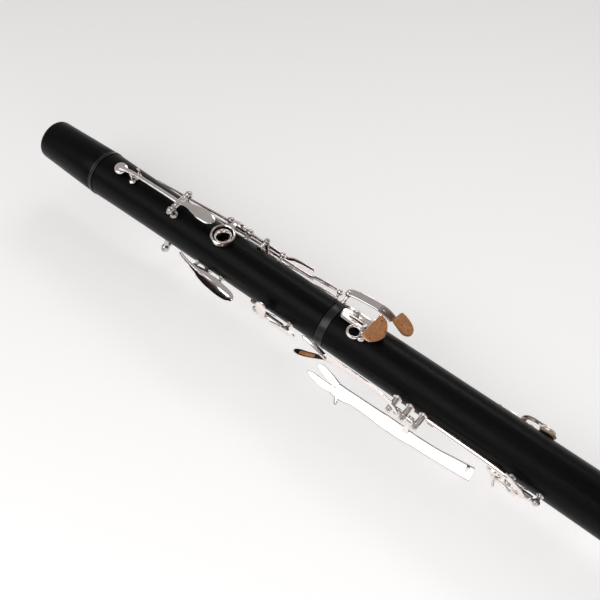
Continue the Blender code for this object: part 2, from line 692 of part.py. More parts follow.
solid(
    "left_lever_outer",
    [
        tube(polar(311.6, *lever_rod), polar(315.6, *lever_rod), 1.8, 1.1),
        bar([((313.6, -24.0, 0.8), 2.8, 1.5), ((313.6, -24.2, -2.6), 3.0, 1.5), ((313.8, -26.4, -8.2), 3.6, 1.5)],
            (0, -1, 0.1)),
        bar([((264.7, -28.4, -9.0), 7.0, 1.7), ((270.6, -28.6, -9.6), 8.6, 1.7), ((280, -27.8, -9.2), 7.4, 1.6),
             ((292, -27.6, -9.4), 8.0, 1.6), ((306, -27.4, -9.6), 8.4, 1.6), ((322, -27.0, -9.4), 7.6, 1.6),
             ((338, -26.4, -8.4), 7.8, 1.6), ((350, -25.4, -7.2), 8.4, 1.6), ((357, -25.0, -6.6), 7.6, 1.6)],
            blade),
        bar([((265.9, -26.6, -7.6), 3.8, 1.7), ((259.8, -25.8, -6.0), 4.8, 1.6), ((253.8, -24.6, -5.0), 3.6, 1.5),
             ((250.8, -24.0, -4.6), 1.6, 1.3)], blade),
        bar([((265.9, -29.8, -9.9), 3.6, 1.7), ((258.8, -30.2, -10.0), 4.4, 1.6), ((251.8, -29.8, -9.6), 3.4, 1.5),
             ((247.8, -29.4, -9.2), 1.6, 1.3)], blade),
        bar([((269.4, -30.2, -10.6), 3.6, 1.6), ((270.4, -32.6, -12.4), 2.8, 1.5), ((271.2, -34.6, -14.2), 2.0, 1.4)],
            (0, -0.56, 0.83)),
    ],
    silver,
    polar(313.6, *lever_rod),
)

# F sharp key on the left of the lower joint, under the outer lever's end
f_sharp_rod = (-92.0, 19.7)
solid(
    "f_sharp_mount",
    [hinge_rod(375.4, 392.4, f_sharp_rod)]
    + post(375.3, *f_sharp_rod, 15.1, 2.15)
    + post(392.5, *f_sharp_rod, 15.1, 2.15),
    steel,
)
solid(
    "f_sharp_key",
    [
        tube(polar(377.9, *f_sharp_rod), polar(389.9, *f_sharp_rod), 2.0, 1.35),
        curved((381, -92, 21.85, 3.4, 1.5), (380, -102, 21.8, 3.4, 1.5), (373, -108, 20.6, 3.2, 1.5),
               (366, -108, 19.7, 3.8, 1.5)),
        curved((385.6, -92, 21.85, 3.4, 1.5), (383.0, -82, 21.3, 3.4, 1.5), (372, -76, 19.9, 3.8, 1.5)),
        curved((374.4, -76.4, 19.9, 3.6, 1.4), (358, -75.4, 19.3, 4.4, 1.5), (340, -75.4, 19.0, 4.6, 1.5),
               (321.4, -75.4, 18.8, 4.0, 1.4), up=(0, 0.3, 0.95)),
        shell_cup(366, 251, 16.2, 5.4, 3.2),
        curved((366, -109, 19.6, 3.0, 1.4), (368, -114, 22.4, 2.4, 1.4), (369, -115, 24.4, 2.0, 1.3)),
    ],
    silver,
    polar(384.0, *f_sharp_rod),
)
solid("f_sharp_pad", [pad(366, 251, 15.9, 5.4)], skin, polar(384.0, *f_sharp_rod))

# E flat key on the right of the lower joint
e_flat_rod = (106.0, 19.4)
solid(
    "e_flat_mount",
    [hinge_rod(346.6, 367.0, e_flat_rod)]
    + post(346.6, 106, 19.4, 15.0, 2.2)
    + post(367.0, 106, 19.4, 15.0, 2.2),
    steel,
)
solid(
    "e_flat_key",
    [
        tube(polar(349.1, *e_flat_rod), polar(364.5, *e_flat_rod), 2.0, 1.35),
        curved((361, 106, 21.55, 3.4, 1.5), (362, 96, 21.4, 3.4, 1.5), (376, 81, 20.0, 3.6, 1.5)),
        curved((355, 106, 21.55, 4.0, 1.5), (355, 124, 21.8, 7.0, 1.5), (355, 140, 21.8, 9.0, 1.4),
               (355, 152, 21.6, 7.0, 1.3)),
        shell_cup(377, 77, 16.4, 5.6, 3.4),
    ],
    silver,
    polar(356.0, *e_flat_rod),
)
solid("e_flat_pad", [pad(377, 77, 16.1, 5.6)], skin, polar(356.0, *e_flat_rod))

# E key, left front, open at rest and closed by the outer left lever or its own touch
e_rod = (-172.0, 20.0)
solid(
    "e_mount",
    [hinge_rod(340.0, 389.0, e_rod)]
    + post(340.0, *e_rod, 15.0, 2.2)
    + post(389.0, *e_rod, 15.1, 2.2),
    steel,
)
solid(
    "e_key",
    [
        tube(polar(342.5, *e_rod), polar(386.5, *e_rod), 2.0, 1.35),
        curved((384, -172, 22.15, 3.6, 1.5), (386, -183, 22.2, 3.6, 1.5), (398, -199, 21.2, 4.0, 1.5)),
        curved((347, -172, 22.15, 4.0, 1.5), (346, -185, 22.2, 7.0, 1.5), (346, -197, 22.0, 8.0, 1.4),
               (346, -205, 21.8, 5.6, 1.3)),
        cup(398, 159, 17.0, 6.4, 3.6, 16),
    ],
    silver,
    polar(364.0, *e_rod),
)

# F key, the large front pad, open at rest
f_rod = (128.0, 20.0)
solid(
    "f_mount",
    [hinge_rod(374.6, 423.0, f_rod)]
    + post(374.6, 128, 20.0, 15.1, 2.2)
    + post(423.0, 128, 20.0, 15.3, 2.2),
    steel,
)
solid(
    "f_key",
    [
        tube(polar(377.1, *f_rod), polar(420.5, *f_rod), 2.0, 1.35),
        curved((417, 128, 22.15, 3.6, 1.5), (420, 146, 22.6, 3.8, 1.5), (428, 172, 21.6, 4.2, 1.5)),
        curved((381, 128, 22.15, 4.0, 1.5), (378, 144, 22.2, 6.0, 1.5), (371, 158, 22.0, 8.0, 1.4),
               (364.6, 166, 21.8, 6.0, 1.3)),
        shell_cup(428, 176, 17.6, 7.4, 3.8, 16),
    ],
    silver,
    polar(400.0, *f_rod),
)
solid("f_pad", [pad(428, 176, 17.3, 7.4, 18)], skin, polar(400.0, *f_rod))
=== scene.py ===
import math

import bmesh
import bpy
from mathutils import Matrix, Vector


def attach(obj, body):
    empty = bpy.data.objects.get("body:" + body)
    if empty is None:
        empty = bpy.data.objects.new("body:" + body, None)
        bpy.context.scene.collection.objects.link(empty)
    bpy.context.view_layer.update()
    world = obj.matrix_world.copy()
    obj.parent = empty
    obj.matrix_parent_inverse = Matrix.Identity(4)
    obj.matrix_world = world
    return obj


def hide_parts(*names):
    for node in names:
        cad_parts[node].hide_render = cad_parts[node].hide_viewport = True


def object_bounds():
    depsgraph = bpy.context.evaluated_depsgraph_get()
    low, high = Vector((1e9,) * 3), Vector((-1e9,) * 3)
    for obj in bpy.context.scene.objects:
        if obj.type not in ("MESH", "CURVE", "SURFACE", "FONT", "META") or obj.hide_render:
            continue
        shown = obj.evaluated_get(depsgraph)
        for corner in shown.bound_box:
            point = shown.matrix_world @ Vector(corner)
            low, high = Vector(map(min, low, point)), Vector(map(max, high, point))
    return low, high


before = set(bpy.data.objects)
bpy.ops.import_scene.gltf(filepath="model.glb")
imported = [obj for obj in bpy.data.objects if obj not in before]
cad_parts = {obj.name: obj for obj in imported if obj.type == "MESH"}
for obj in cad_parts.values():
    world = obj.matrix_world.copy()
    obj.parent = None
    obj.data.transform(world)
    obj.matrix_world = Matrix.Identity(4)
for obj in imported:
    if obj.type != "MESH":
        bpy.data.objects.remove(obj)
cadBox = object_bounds()

# Everything below is in millimetres from the barrel's mouth, with the bore along X
mm = 0.001
rimRadius = (cadBox[1].z - cadBox[0].z) / 2 / mm
toWorld = Matrix.Translation((cadBox[0].x, 0.0, cadBox[0].z + rimRadius * mm)) @ Matrix.Scale(mm, 4)


def polar(x, angle, radius):
    # a place on the body: the angle runs from its back towards the player's right hand
    a = math.radians(angle)
    return Vector((x, radius * math.sin(a), radius * math.cos(a)))


def along(origin, direction):
    turn = Vector(direction).normalized().to_track_quat("Z", "Y")
    return Matrix.Translation(Vector(origin)) @ turn.to_matrix().to_4x4()


def standing(x, angle, radius):
    return along(polar(x, angle, radius), polar(0.0, angle, 1.0))


def softened(bm, width, segments=2, limit=32.0):
    # round off every edge sharper than the limit
    edges = [e for e in bm.edges if len(e.link_faces) == 2 and e.calc_face_angle(0.0) > math.radians(limit)]
    if edges and width > 0:
        bmesh.ops.bevel(
            bm, geom=edges, offset=width, offset_type="OFFSET", segments=segments,
            profile=0.5, affect="EDGES", clamp_overlap=True, material=-1,
        )
    return bm


def spun(profile, place, steps=28, closed=False, edge=0.12):
    # (height, radius) points spun about the place's Z
    bm = bmesh.new()
    verts = [bm.verts.new((radius, 0.0, height)) for height, radius in profile]
    edges = [bm.edges.new(pair) for pair in zip(verts, verts[1:])]
    if closed:
        edges.append(bm.edges.new((verts[-1], verts[0])))
    bmesh.ops.spin(bm, geom=verts + edges, cent=(0, 0, 0), axis=(0, 0, 1), angle=math.tau,
                   steps=steps, use_merge=True, use_normal_flip=False, use_duplicate=False)
    bmesh.ops.remove_doubles(bm, verts=bm.verts[:], dist=1e-4)
    bmesh.ops.recalc_face_normals(bm, faces=bm.faces[:])
    softened(bm, edge, 2)
    bmesh.ops.transform(bm, matrix=place, verts=bm.verts[:])
    return bm


def rodShape(start, end, radius, steps=20, edge=0.12):
    length = (Vector(end) - Vector(start)).length
    place = along(start, Vector(end) - Vector(start))
    return spun([(0, 0), (0, radius), (length, radius), (length, 0)], place, steps, False, edge)


def tubeShape(start, end, outer, inner, steps=28):
    # a hinge tube with a fine turned collar at each end
    length = (Vector(end) - Vector(start)).length
    place = along(start, Vector(end) - Vector(start))
    lip = min(0.9, length * 0.2)
    profile = [
        (0, inner), (0, outer), (lip, outer), (lip + 0.12, outer - 0.16), (lip + 0.34, outer - 0.16),
        (lip + 0.46, outer), (length - lip - 0.46, outer), (length - lip - 0.34, outer - 0.16),
        (length - lip - 0.12, outer - 0.16), (length - lip, outer), (length, outer), (length, inner),
    ]
    return spun(profile, place, steps, True, 0.1)


def ballShape(centre, radius, axis=(0, 0, 1), steps=20):
    turns = [math.radians(a) for a in range(-90, 91, 15)]
    return spun([(radius * math.sin(a), abs(radius * math.cos(a))) for a in turns], along(centre, axis), steps,
        False, 0)


def ringShape(place, inner, outer, thick, steps=40, edge=0.3):
    # a flat ring whose edges are well rounded
    return spun([(0, inner), (0, outer), (thick, outer), (thick, inner)], place, steps, True, edge)


def slotted(origin, direction, radius, height=0.5, slot=0.32):
    # a screw head with a slot cut into its face
    bm = bmesh.new()
    bmesh.ops.create_cone(bm, cap_ends=True, cap_tris=False, segments=20, radius1=radius, radius2=radius * 0.94,
        depth=height)
    bmesh.ops.translate(bm, vec=(0, 0, height / 2), verts=bm.verts[:])
    for co, no in (((0, slot / 2, 0), (0, 1, 0)), ((0, -slot / 2, 0), (0, 1, 0)),
                   ((radius * 0.8, 0, 0), (1, 0, 0)), ((-radius * 0.8, 0, 0), (1, 0, 0))):
        bmesh.ops.bisect_plane(bm, geom=bm.verts[:] + bm.edges[:] + bm.faces[:], plane_co=co, plane_no=no)
    middle = [f for f in bm.faces if f.calc_center_median().z > height * 0.98
              and abs(f.calc_center_median().y) < slot / 2 and abs(f.calc_center_median().x) < radius * 0.7]
    grown = bmesh.ops.extrude_face_region(bm, geom=middle)["geom"]
    deep = [g for g in grown if isinstance(g, bmesh.types.BMVert)]
    bmesh.ops.translate(bm, vec=(0, 0, -height * 0.7), verts=deep)
    bmesh.ops.recalc_face_normals(bm, faces=bm.faces[:])
    bmesh.ops.transform(bm, matrix=along(origin, direction), verts=bm.verts[:])
    return bm


def flowing(rows, points, fine=8):
    # a smooth path through the rows that never swings past them
    spans = [max((b - a).length, 1e-6) for a, b in zip(points, points[1:])]
    count = len(rows[0])
    slopes = []
    for i in range(len(rows)):
        row = []
        for k in range(count):
            before = (rows[i][k] - rows[i - 1][k]) / spans[i - 1] if i else None
            after = (rows[i + 1][k] - rows[i][k]) / spans[i] if i < len(rows) - 1 else None
            if before is None or after is None:
                row.append(after if before is None else before)
            else:
                row.append(0.0 if before * after <= 0 else 2 * before * after / (before + after))
        slopes.append(row)
    dense = []
    for i, span in enumerate(spans):
        for step in range(fine):
            t = step / fine
            weights = (2 * t**3 - 3 * t**2 + 1, (t**3 - 2 * t**2 + t) * span, 3 * t**2 - 2 * t**3,
                (t**3 - t**2) * span)
            dense.append([
                weights[0] * rows[i][k] + weights[1] * slopes[i][k] + weights[2] * rows[i + 1][k] + weights[3] * slopes[i + 1][k]
                for k in range(count)
            ])
    dense.append(list(rows[-1]))
    return dense


def sweptBar(dense, face, tips, square, crown, dish, sides, spacing):
    # a section drawn along (point, width, thickness) steps, with rounded tips
    lengths = [0.0]
    for a, b in zip(dense, dense[1:]):
        lengths.append(lengths[-1] + (b[0] - a[0]).length)
    total = lengths[-1]
    stops = {0.0, total}
    steps = max(2, math.ceil(total / spacing))
    stops.update(total * k / steps for k in range(1, steps))
    for reach, far in ((tips[0], False), (tips[1], True)):
        if reach:
            for share in (0.015, 0.07, 0.16, 0.3, 0.5, 0.75, 1.0):
                stops.add(total - reach * share if far else reach * share)
    stops = sorted(stops)
    bm = bmesh.new()
    corner = bm.verts.layers.int.new("corner")
    ring = bmesh.ops.create_circle(bm, cap_ends=True, cap_tris=False, radius=1.0, segments=sides)["verts"]
    section = []
    for k, vert in enumerate(ring):
        vert[corner] = k
        c, s = vert.co.x, vert.co.y
        c, s = (0.0 if abs(c) < 1e-6 else c), (0.0 if abs(s) < 1e-6 else s)
        section.append((math.copysign(abs(c) ** square, c), math.copysign(abs(s) ** (crown if s > 0 else square), s)))

    def station(at):
        i = max(0, min(len(lengths) - 2, next((k for k, l in enumerate(lengths) if l > at), len(lengths) - 1) - 1))
        t = (at - lengths[i]) / max(lengths[i + 1] - lengths[i], 1e-9)
        point = dense[i][0].lerp(dense[i + 1][0], t)
        width = dense[i][1] + (dense[i + 1][1] - dense[i][1]) * t
        thick = dense[i][2] + (dense[i + 1][2] - dense[i][2]) * t
        near, far = dense[max(i - 1, 0)][0], dense[min(i + 2, len(dense) - 1)][0]
        run = (far - near).normalized()
        for reach, left in ((tips[0], at), (tips[1], total - at)):
            if reach and left < reach:
                turnedRound = math.sqrt(max(1 - (1 - left / reach) ** 2, 0.0))
                width *= max(turnedRound, 0.06)
                thick *= max(min(1.0, turnedRound * 1.6), 0.25)
        up = Vector(face) if face else Vector((0, point.y, point.z))
        side = run.cross(up).normalized()
        return point, side, side.cross(run).normalized(), width, thick

    def shape(verts, at):
        point, side, up, width, thick = station(at)
        for vert in verts:
            x, y = section[vert[corner]]
            vert.co = point + side * (x * width / 2) + up * (y * thick / 2 + dish * width * (x * x - 0.35) / 10)

    shape(ring, stops[0])
    end = bm.faces[:][0]
    for at in stops[1:]:
        grown = bmesh.ops.extrude_face_region(bm, geom=[end])["geom"]
        end = next(g for g in grown if isinstance(g, bmesh.types.BMFace))
        shape([g for g in grown if isinstance(g, bmesh.types.BMVert)], at)
    bmesh.ops.recalc_face_normals(bm, faces=bm.faces[:])
    return bm


def lever(stations, face=None, tips=(0, 0), square=0.5, crown=0.72, dish=0.0, sides=16, spacing=1.6):
    # a bar through (point, width, thickness) stations
    points = [Vector(point) for point, _, _ in stations]
    rows = [[*point, width, thick] for point, width, thick in stations]
    dense = [(Vector(row[:3]), row[3], row[4]) for row in flowing(rows, points)]
    return sweptBar(dense, face, tips, square, crown, dish, sides, spacing)


def bent(*stations, face=None, tips=(0, 0), square=0.5, crown=0.72, dish=0.0, sides=16, spacing=1.2):
    # a bar through (x, angle, radius, width, thickness) stations that follows the round body
    points = [polar(*row[:3]) for row in stations]
    dense = [(polar(*row[:3]), row[3], row[4]) for row in flowing([list(s) for s in stations], points, 10)]
    return sweptBar(dense, face, tips, square, crown, dish, sides, spacing)


def cupShape(x, angle, level, radius, height, low=0.6, steps=40):
    # a domed pad cup, hollow below, with a small bead at its rim
    profile = [(min(1.9, height * 0.62), 0), (min(1.9, height * 0.62), radius - 0.55), (low, radius - 0.55),
        (low, radius - 0.08)]
    profile += [(low + 0.25, radius), (low + 0.55, radius), (low + 0.7, radius * 0.975)]
    waist = height * 0.55
    for k in range(0, 9):
        a = math.radians(k * 90 / 8)
        profile.append((waist + (height - waist) * math.sin(a),
            radius * (0.97 * math.cos(a) ** 0.8 if k < 8 else 0.0)))
    return spun(profile, standing(x, angle, level), steps, False, 0.08)


def padShape(x, angle, level, radius, thick=1.6, steps=40):
    # a stuffed pad, slightly crowned, with the seat's ring pressed into its face
    profile = [
        (0.1, 0), (0.04, radius * 0.45), (0.12, radius * 0.6), (0.3, radius * 0.68), (0.12, radius * 0.76),
        (0.1, radius - 1.3), (0.28, radius - 0.85), (0.7, radius - 0.68), (thick, radius - 0.7), (thick, 0),
    ]
    return spun(profile, standing(x, angle, level), steps, False, 0)


def postShape(x, angle, radius, body, size, steps=24):
    # one turned post: flared foot, waist and ball
    tall = radius - body
    profile = [
        (-0.5, 0), (-0.5, size * 1.04), (0.22, size * 1.04), (0.46, size * 0.96), (0.62, size * 0.8),
        (0.95, size * 0.62), (1.4, size * 0.54), (max(1.6, tall - size * 0.92), size * 0.5),
    ]
    for a in range(-54, 91, 12):
        turn = math.radians(a)
        profile.append((tall + size * math.sin(turn), size * math.cos(turn) if a < 88 else 0.0))
    return spun(profile, standing(x, angle, body), steps, False, 0)


def wallOf(profile, steps=112, edge=0.25):
    # (x, radius) points spun about the bore into a closed wall
    return spun(profile, along((0, 0, 0), (1, 0, 0)), steps, True, edge)


def gathered(shells):
    whole = bmesh.new()
    for shell in shells:
        spare = bpy.data.meshes.new("spare")
        shell.to_mesh(spare)
        shell.free()
        whole.from_mesh(spare)
        bpy.data.meshes.remove(spare)
    return whole


def finished(name, mesh, finish, body, nodes, sharp):
    mesh.transform(toWorld)
    mesh.materials.clear()
    mesh.materials.append(finish)
    mesh.shade_smooth()
    mesh.set_sharp_from_angle(angle=math.radians(sharp))
    obj = bpy.data.objects.new(name, mesh)
    bpy.context.scene.collection.objects.link(obj)
    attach(obj, body)
    if nodes:
        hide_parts(*nodes)
    return obj


def piece(name, shells, finish, body="body", nodes=(), sharp=38.0):
    mesh = bpy.data.meshes.new(name)
    whole = gathered(shells)
    whole.to_mesh(mesh)
    whole.free()
    return finished(name, mesh, finish, body, nodes, sharp)


def drilled(name, wall, holes, extras, finish, nodes):
    # a turned wall with its tone holes cut through, and its raised seats added
    def plain(bm, label):
        mesh = bpy.data.meshes.new(label)
        bm.to_mesh(mesh)
        bm.free()
        obj = bpy.data.objects.new(label, mesh)
        bpy.context.scene.collection.objects.link(obj)
        return obj

    base = plain(wall, "blank")
    tool = plain(gathered(holes), "drills")
    cut = base.modifiers.new("drill", "BOOLEAN")
    cut.operation, cut.solver, cut.object = "DIFFERENCE", "EXACT", tool
    bpy.context.view_layer.update()
    mesh = bpy.data.meshes.new_from_object(base.evaluated_get(bpy.context.evaluated_depsgraph_get()))
    for obj in (base, tool):
        data = obj.data
        bpy.data.objects.remove(obj, do_unlink=True)
        bpy.data.meshes.remove(data)
    bm = gathered(extras)
    bm.from_mesh(mesh)
    bm.to_mesh(mesh)
    bm.free()
    mesh.name = name
    return finished(name, mesh, finish, "body", nodes, 30.0)


# finishes

def blankFinish(name):
    mat = bpy.data.materials.new(name)
    mat.use_nodes = True
    return mat, mat.node_tree, mat.node_tree.nodes["Principled BSDF"]


def add(tree, kind, values, **settings):
    node = tree.nodes.new("ShaderNode" + kind)
    for key, value in settings.items():
        setattr(node, key, value)
    for key, value in values.items():
        if isinstance(value, bpy.types.NodeSocket):
            tree.links.new(value, node.inputs[key])
        else:
            node.inputs[key].default_value = value
    return node


def grainOf(tree, scale, detail=6.0, rough=0.6, seed=0.0):
    # noise whose cells are 1 / scale metres long on each axis
    where = add(tree, "TexCoord", {}).outputs["Object"]
    spread = add(tree, "Mapping", {"Vector": where, "Scale": scale, "Location": (seed, seed * 0.7, -seed)})
    return add(tree, "TexNoise", {"Vector": spread.outputs[0], "Scale": 1.0, "Detail": detail,
        "Roughness": rough}).outputs["Fac"]


def rangeOf(tree, value, low, high, toLow, toHigh):
    return add(tree, "MapRange", {"Value": value, "From Min": low, "From Max": high, "To Min": toLow,
        "To Max": toHigh}).outputs["Result"]


def mixOf(tree, factor, a, b):
    node = add(tree, "Mix", {0: factor}, data_type="RGBA")
    for index, value in ((6, a), (7, b)):
        if isinstance(value, bpy.types.NodeSocket):
            tree.links.new(value, node.inputs[index])
        else:
            node.inputs[index].default_value = (*value, 1.0)
    return node.outputs[2]


def bumpOf(tree, height, distance, strength=1.0, normal=None):
    values = {"Height": height, "Distance": distance, "Strength": strength}
    if normal:
        values["Normal"] = normal
    return add(tree, "Bump", values).outputs["Normal"]


blackWood = {
    "dark": (0.0018, 0.0017, 0.0018), "light": (0.0045, 0.0042, 0.0042), "streak": (0.0085, 0.0076, 0.0072),
    "grain": (26.0, 850.0, 850.0), "broad": (7.0, 130.0, 130.0), "pores": (300.0, 3600.0, 3600.0),
    "roughness": (0.27, 0.4), "poreDepth": 0.00006,
}


def makeWood(name, look):
    mat, tree, shader = blankFinish(name)
    fine = grainOf(tree, look["grain"], 8.0, 0.65)
    broad = grainOf(tree, look["broad"], 4.0, 0.5, 3.1)
    pores = grainOf(tree, look["pores"], 2.0, 0.5, 7.7)
    pits = rangeOf(tree, pores, 0.28, 0.40, 0.0, 1.0)
    body = mixOf(tree, rangeOf(tree, fine, 0.35, 0.68, 0.0, 1.0), look["dark"], look["light"])
    body = mixOf(tree, rangeOf(tree, broad, 0.5, 0.8, 0.0, 0.6), body, look["streak"])
    body = mixOf(tree, pits, (0.0015, 0.0013, 0.0013), body)
    tree.links.new(body, shader.inputs["Base Color"])
    tree.links.new(rangeOf(tree, fine, 0.3, 0.7, *look["roughness"]), shader.inputs["Roughness"])
    lines = bumpOf(tree, fine, 0.00003, 0.6)
    tree.links.new(bumpOf(tree, pits, look["poreDepth"], 0.55, lines), shader.inputs["Normal"])
    shader.inputs["Specular IOR Level"].default_value = 0.09
    return mat


silverPlate = {"clean": (0.93, 0.875, 0.85), "worn": (0.86, 0.775, 0.735), "roughness": (0.075, 0.2)}
rodSteel = {"clean": (0.66, 0.645, 0.63), "worn": (0.5, 0.48, 0.46), "roughness": (0.18, 0.34)}


def makeMetal(name, look, lineScale=(900.0, 900.0, 900.0)):
    mat, tree, shader = blankFinish(name)
    cloud = grainOf(tree, (70.0, 70.0, 70.0), 4.0, 0.55, 1.3)
    smear = grainOf(tree, (420.0, 420.0, 420.0), 6.0, 0.7, 5.1)
    hair = grainOf(tree, lineScale, 3.0, 0.6, 2.2)
    tree.links.new(mixOf(tree, rangeOf(tree, cloud, 0.4, 0.72, 0.0, 0.85), look["clean"], look["worn"]),
        shader.inputs["Base Color"])
    tree.links.new(rangeOf(tree, smear, 0.3, 0.72, *look["roughness"]), shader.inputs["Roughness"])
    hand = bumpOf(tree, cloud, 0.00012, 0.5)
    tree.links.new(bumpOf(tree, hair, 0.000006, 0.5, hand), shader.inputs["Normal"])
    shader.inputs["Metallic"].default_value = 1.0
    return mat


darkRing = {"clean": (0.055, 0.055, 0.057), "worn": (0.03, 0.03, 0.032), "roughness": (0.26, 0.4)}


def makeTurnedRing(name, look):
    mat, tree, shader = blankFinish(name)
    lathe = grainOf(tree, (5200.0, 3.0, 3.0), 3.0, 0.6, 0.4)  # lathe lines round the ring
    cloud = grainOf(tree, (120.0, 120.0, 120.0), 4.0, 0.5, 4.2)
    tree.links.new(mixOf(tree, rangeOf(tree, cloud, 0.35, 0.7, 0.0, 1.0), look["clean"], look["worn"]),
        shader.inputs["Base Color"])
    tree.links.new(rangeOf(tree, lathe, 0.3, 0.7, *look["roughness"]), shader.inputs["Roughness"])
    tree.links.new(bumpOf(tree, lathe, 0.00001, 0.6), shader.inputs["Normal"])
    shader.inputs["Metallic"].default_value = 1.0
    return mat


corkLook = {
    "pale": (0.66, 0.33, 0.15), "warm": (0.47, 0.19, 0.075), "pit": (0.075, 0.028, 0.012),
    "cells": 900.0, "pits": 330.0,
}


def makeCork(name, look):
    mat, tree, shader = blankFinish(name)
    where = add(tree, "TexCoord", {}).outputs["Object"]
    cells = add(tree, "TexVoronoi", {"Vector": where, "Scale": look["cells"], "Randomness": 1.0})
    cellShade = add(tree, "SeparateColor", {"Color": cells.outputs["Color"]}).outputs["Red"]
    flecks = add(tree, "TexVoronoi", {"Vector": where, "Scale": look["pits"], "Randomness": 1.0}).outputs["Distance"]
    cloud = grainOf(tree, (170.0, 170.0, 170.0), 4.0, 0.55, 8.1)
    pits = rangeOf(tree, flecks, 0.13, 0.2, 1.0, 0.0)
    body = mixOf(tree, rangeOf(tree, cellShade, 0.0, 1.0, 0.0, 0.75), look["pale"], look["warm"])
    body = mixOf(tree, rangeOf(tree, cloud, 0.4, 0.7, 0.0, 0.6), body, look["warm"])
    body = mixOf(tree, pits, body, look["pit"])
    tree.links.new(body, shader.inputs["Base Color"])
    tree.links.new(rangeOf(tree, cloud, 0.3, 0.7, 0.72, 0.9), shader.inputs["Roughness"])
    small = bumpOf(tree, cells.outputs["Distance"], 0.00012, 0.7)
    tree.links.new(bumpOf(tree, rangeOf(tree, pits, 0.0, 1.0, 1.0, 0.0), 0.0004, 0.9, small), shader.inputs["Normal"])
    shader.inputs["Specular IOR Level"].default_value = 0.3
    return mat


skinLook = {"pale": (0.80, 0.70, 0.54), "warm": (0.66, 0.50, 0.33)}


def makeSkin(name, look):
    mat, tree, shader = blankFinish(name)
    folds = grainOf(tree, (380.0, 380.0, 380.0), 5.0, 0.6, 6.0)
    cloud = grainOf(tree, (140.0, 140.0, 140.0), 3.0, 0.5, 1.0)
    tree.links.new(mixOf(tree, rangeOf(tree, cloud, 0.35, 0.7, 0.0, 1.0), look["pale"], look["warm"]),
        shader.inputs["Base Color"])
    tree.links.new(rangeOf(tree, folds, 0.3, 0.7, 0.42, 0.62), shader.inputs["Roughness"])
    tree.links.new(bumpOf(tree, folds, 0.0001, 0.6), shader.inputs["Normal"])
    return mat


wood = makeWood("blackWood", blackWood)
silver = makeMetal("silverPlate", silverPlate)
steel = makeMetal("rodSteel", rodSteel)
ringFinish = makeTurnedRing("turnedRing", darkRing)
cork = makeCork("cork", corkLook)
skin = makeSkin("padSkin", skinLook)
blued = makeMetal("bluedSteel", {"clean": (0.11, 0.12, 0.17), "worn": (0.2, 0.17, 0.16), "roughness": (0.22, 0.4)})
print("finishes made")

# wooden body

barrel = {"end": 52.0, "socket": 11.2, "bore": 7.4, "swell": [(2.2, 13.75), (11, 14.02), (20, 14.36), (31, 14.78),
    (40, 15.08), (48.4, 15.3)]}
piece("barrelWood", [wallOf(
    [(0, 11.4), (0, 12.7), (0.35, 13.15), (0.9, 13.5)] + barrel["swell"]
    + [(48.4, 14.3), (51.7, 14.3), (51.7, barrel["socket"]), (35.4, barrel["socket"]), (35.4, barrel["bore"]),
       (15.5, barrel["bore"]), (15.5, 11.4)]
)], wood, nodes=["barrel"])

bands = {
    "barrelRing": ("barrel_band", [(48.6, 14.6), (48.6, 15.42), (48.9, 15.55), (49.3, 15.42), (49.6, 15.42),
        (50.7, 15.46),
                                   (51.1, 15.58), (51.6, 15.5), (51.6, 14.6)]),
    "middleRing": ("middle_band", [(239.2, 13.5), (239.2, 14.78), (239.6, 14.9), (240.0, 14.82), (243.9, 14.86),
        (244.3, 14.96),
                                   (244.8, 14.85), (244.8, 13.5)]),
    "bellRing": ("bell_band", [(465.5, 16.9), (465.5, 17.66), (466.0, 17.95), (466.6, 17.8), (468.8, 18.2),
        (469.3, 18.42),
                               (469.8, 18.3), (469.8, 16.9)]),
}
for name, (node, profile) in bands.items():
    piece(name, [wallOf(profile, 128, 0.1)], ringFinish, nodes=[node], sharp=30)


def seat(x, angle, body, level, inner, outer):
    # a raised wooden ring that a pad closes on
    return spun([(body - 1.4, inner), (body - 1.4, outer + 0.5), (body - 0.2, outer + 0.5),
        (level - 0.12, inner + 0.45), (level - 0.12, inner)],
                along((x, 0, 0), polar(0, angle, 1.0)), 36, True, 0)


def drill(x, angle, radius, start=5.0, end=26.0):
    return rodShape(polar(x, angle, start), polar(x, angle, end), radius, 36, 0)


def chimney(x, angle, low, high, inner, outer):
    # the raised rim round a finger hole, softened where the finger rests
    return spun([(low, inner), (low, outer), (high - 0.7, outer), (high - 0.2, outer - 0.25), (high, outer - 0.7),
        (high - 0.25, inner + 0.15), (high - 0.8, inner)],
                along((x, 0, 0), polar(0, angle, 1.0)), 40, True, 0)


upperJoint = {
    "profile": [(36, 7.4), (36, 9.9), (52, 9.9), (52, 14.95), (52.25, 15.2), (60, 15.02), (70, 14.8), (90, 14.58),
        (110, 14.4), (170, 14.34),
                (238.55, 14.3), (238.8, 14.05), (238.8, 9.9), (254.8, 9.9), (254.8, 7.4)],
    "fingers": (152.0, 176.0, 203.0),
    # x, angle, drill radius, pad's level above the bore
    "pads": [(84, 180, 3.0, 15.2), (134, 194, 2.4, 15.2), (82, 100, 2.4, 15.2), (100, 112, 2.4, 15.2),
        (118, 124, 2.4, 15.2),
             (135, 136, 2.4, 15.2), (190, 215, 2.8, 15.2), (162.6, 166, 2.4, 15.4), (216, 180, 2.8, 15.4)],
}
drilled(
    "upperJointWood", wallOf(upperJoint["profile"], 112, 0),
    [drill(x, 180, 3.8) for x in upperJoint["fingers"]] + [drill(155.9, 0, 4.9), drill(68.6, 0, 2.1)]
    + [drill(*row[:3]) for row in upperJoint["pads"]],
    [chimney(x, 180, 12.6, 16.0, 3.8, 5.1) for x in upperJoint["fingers"]]
    + [seat(x, angle, 14.4, level, radius, radius + 0.7) for x, angle, radius, level in upperJoint["pads"]],
    wood, ["upper_joint"],
)

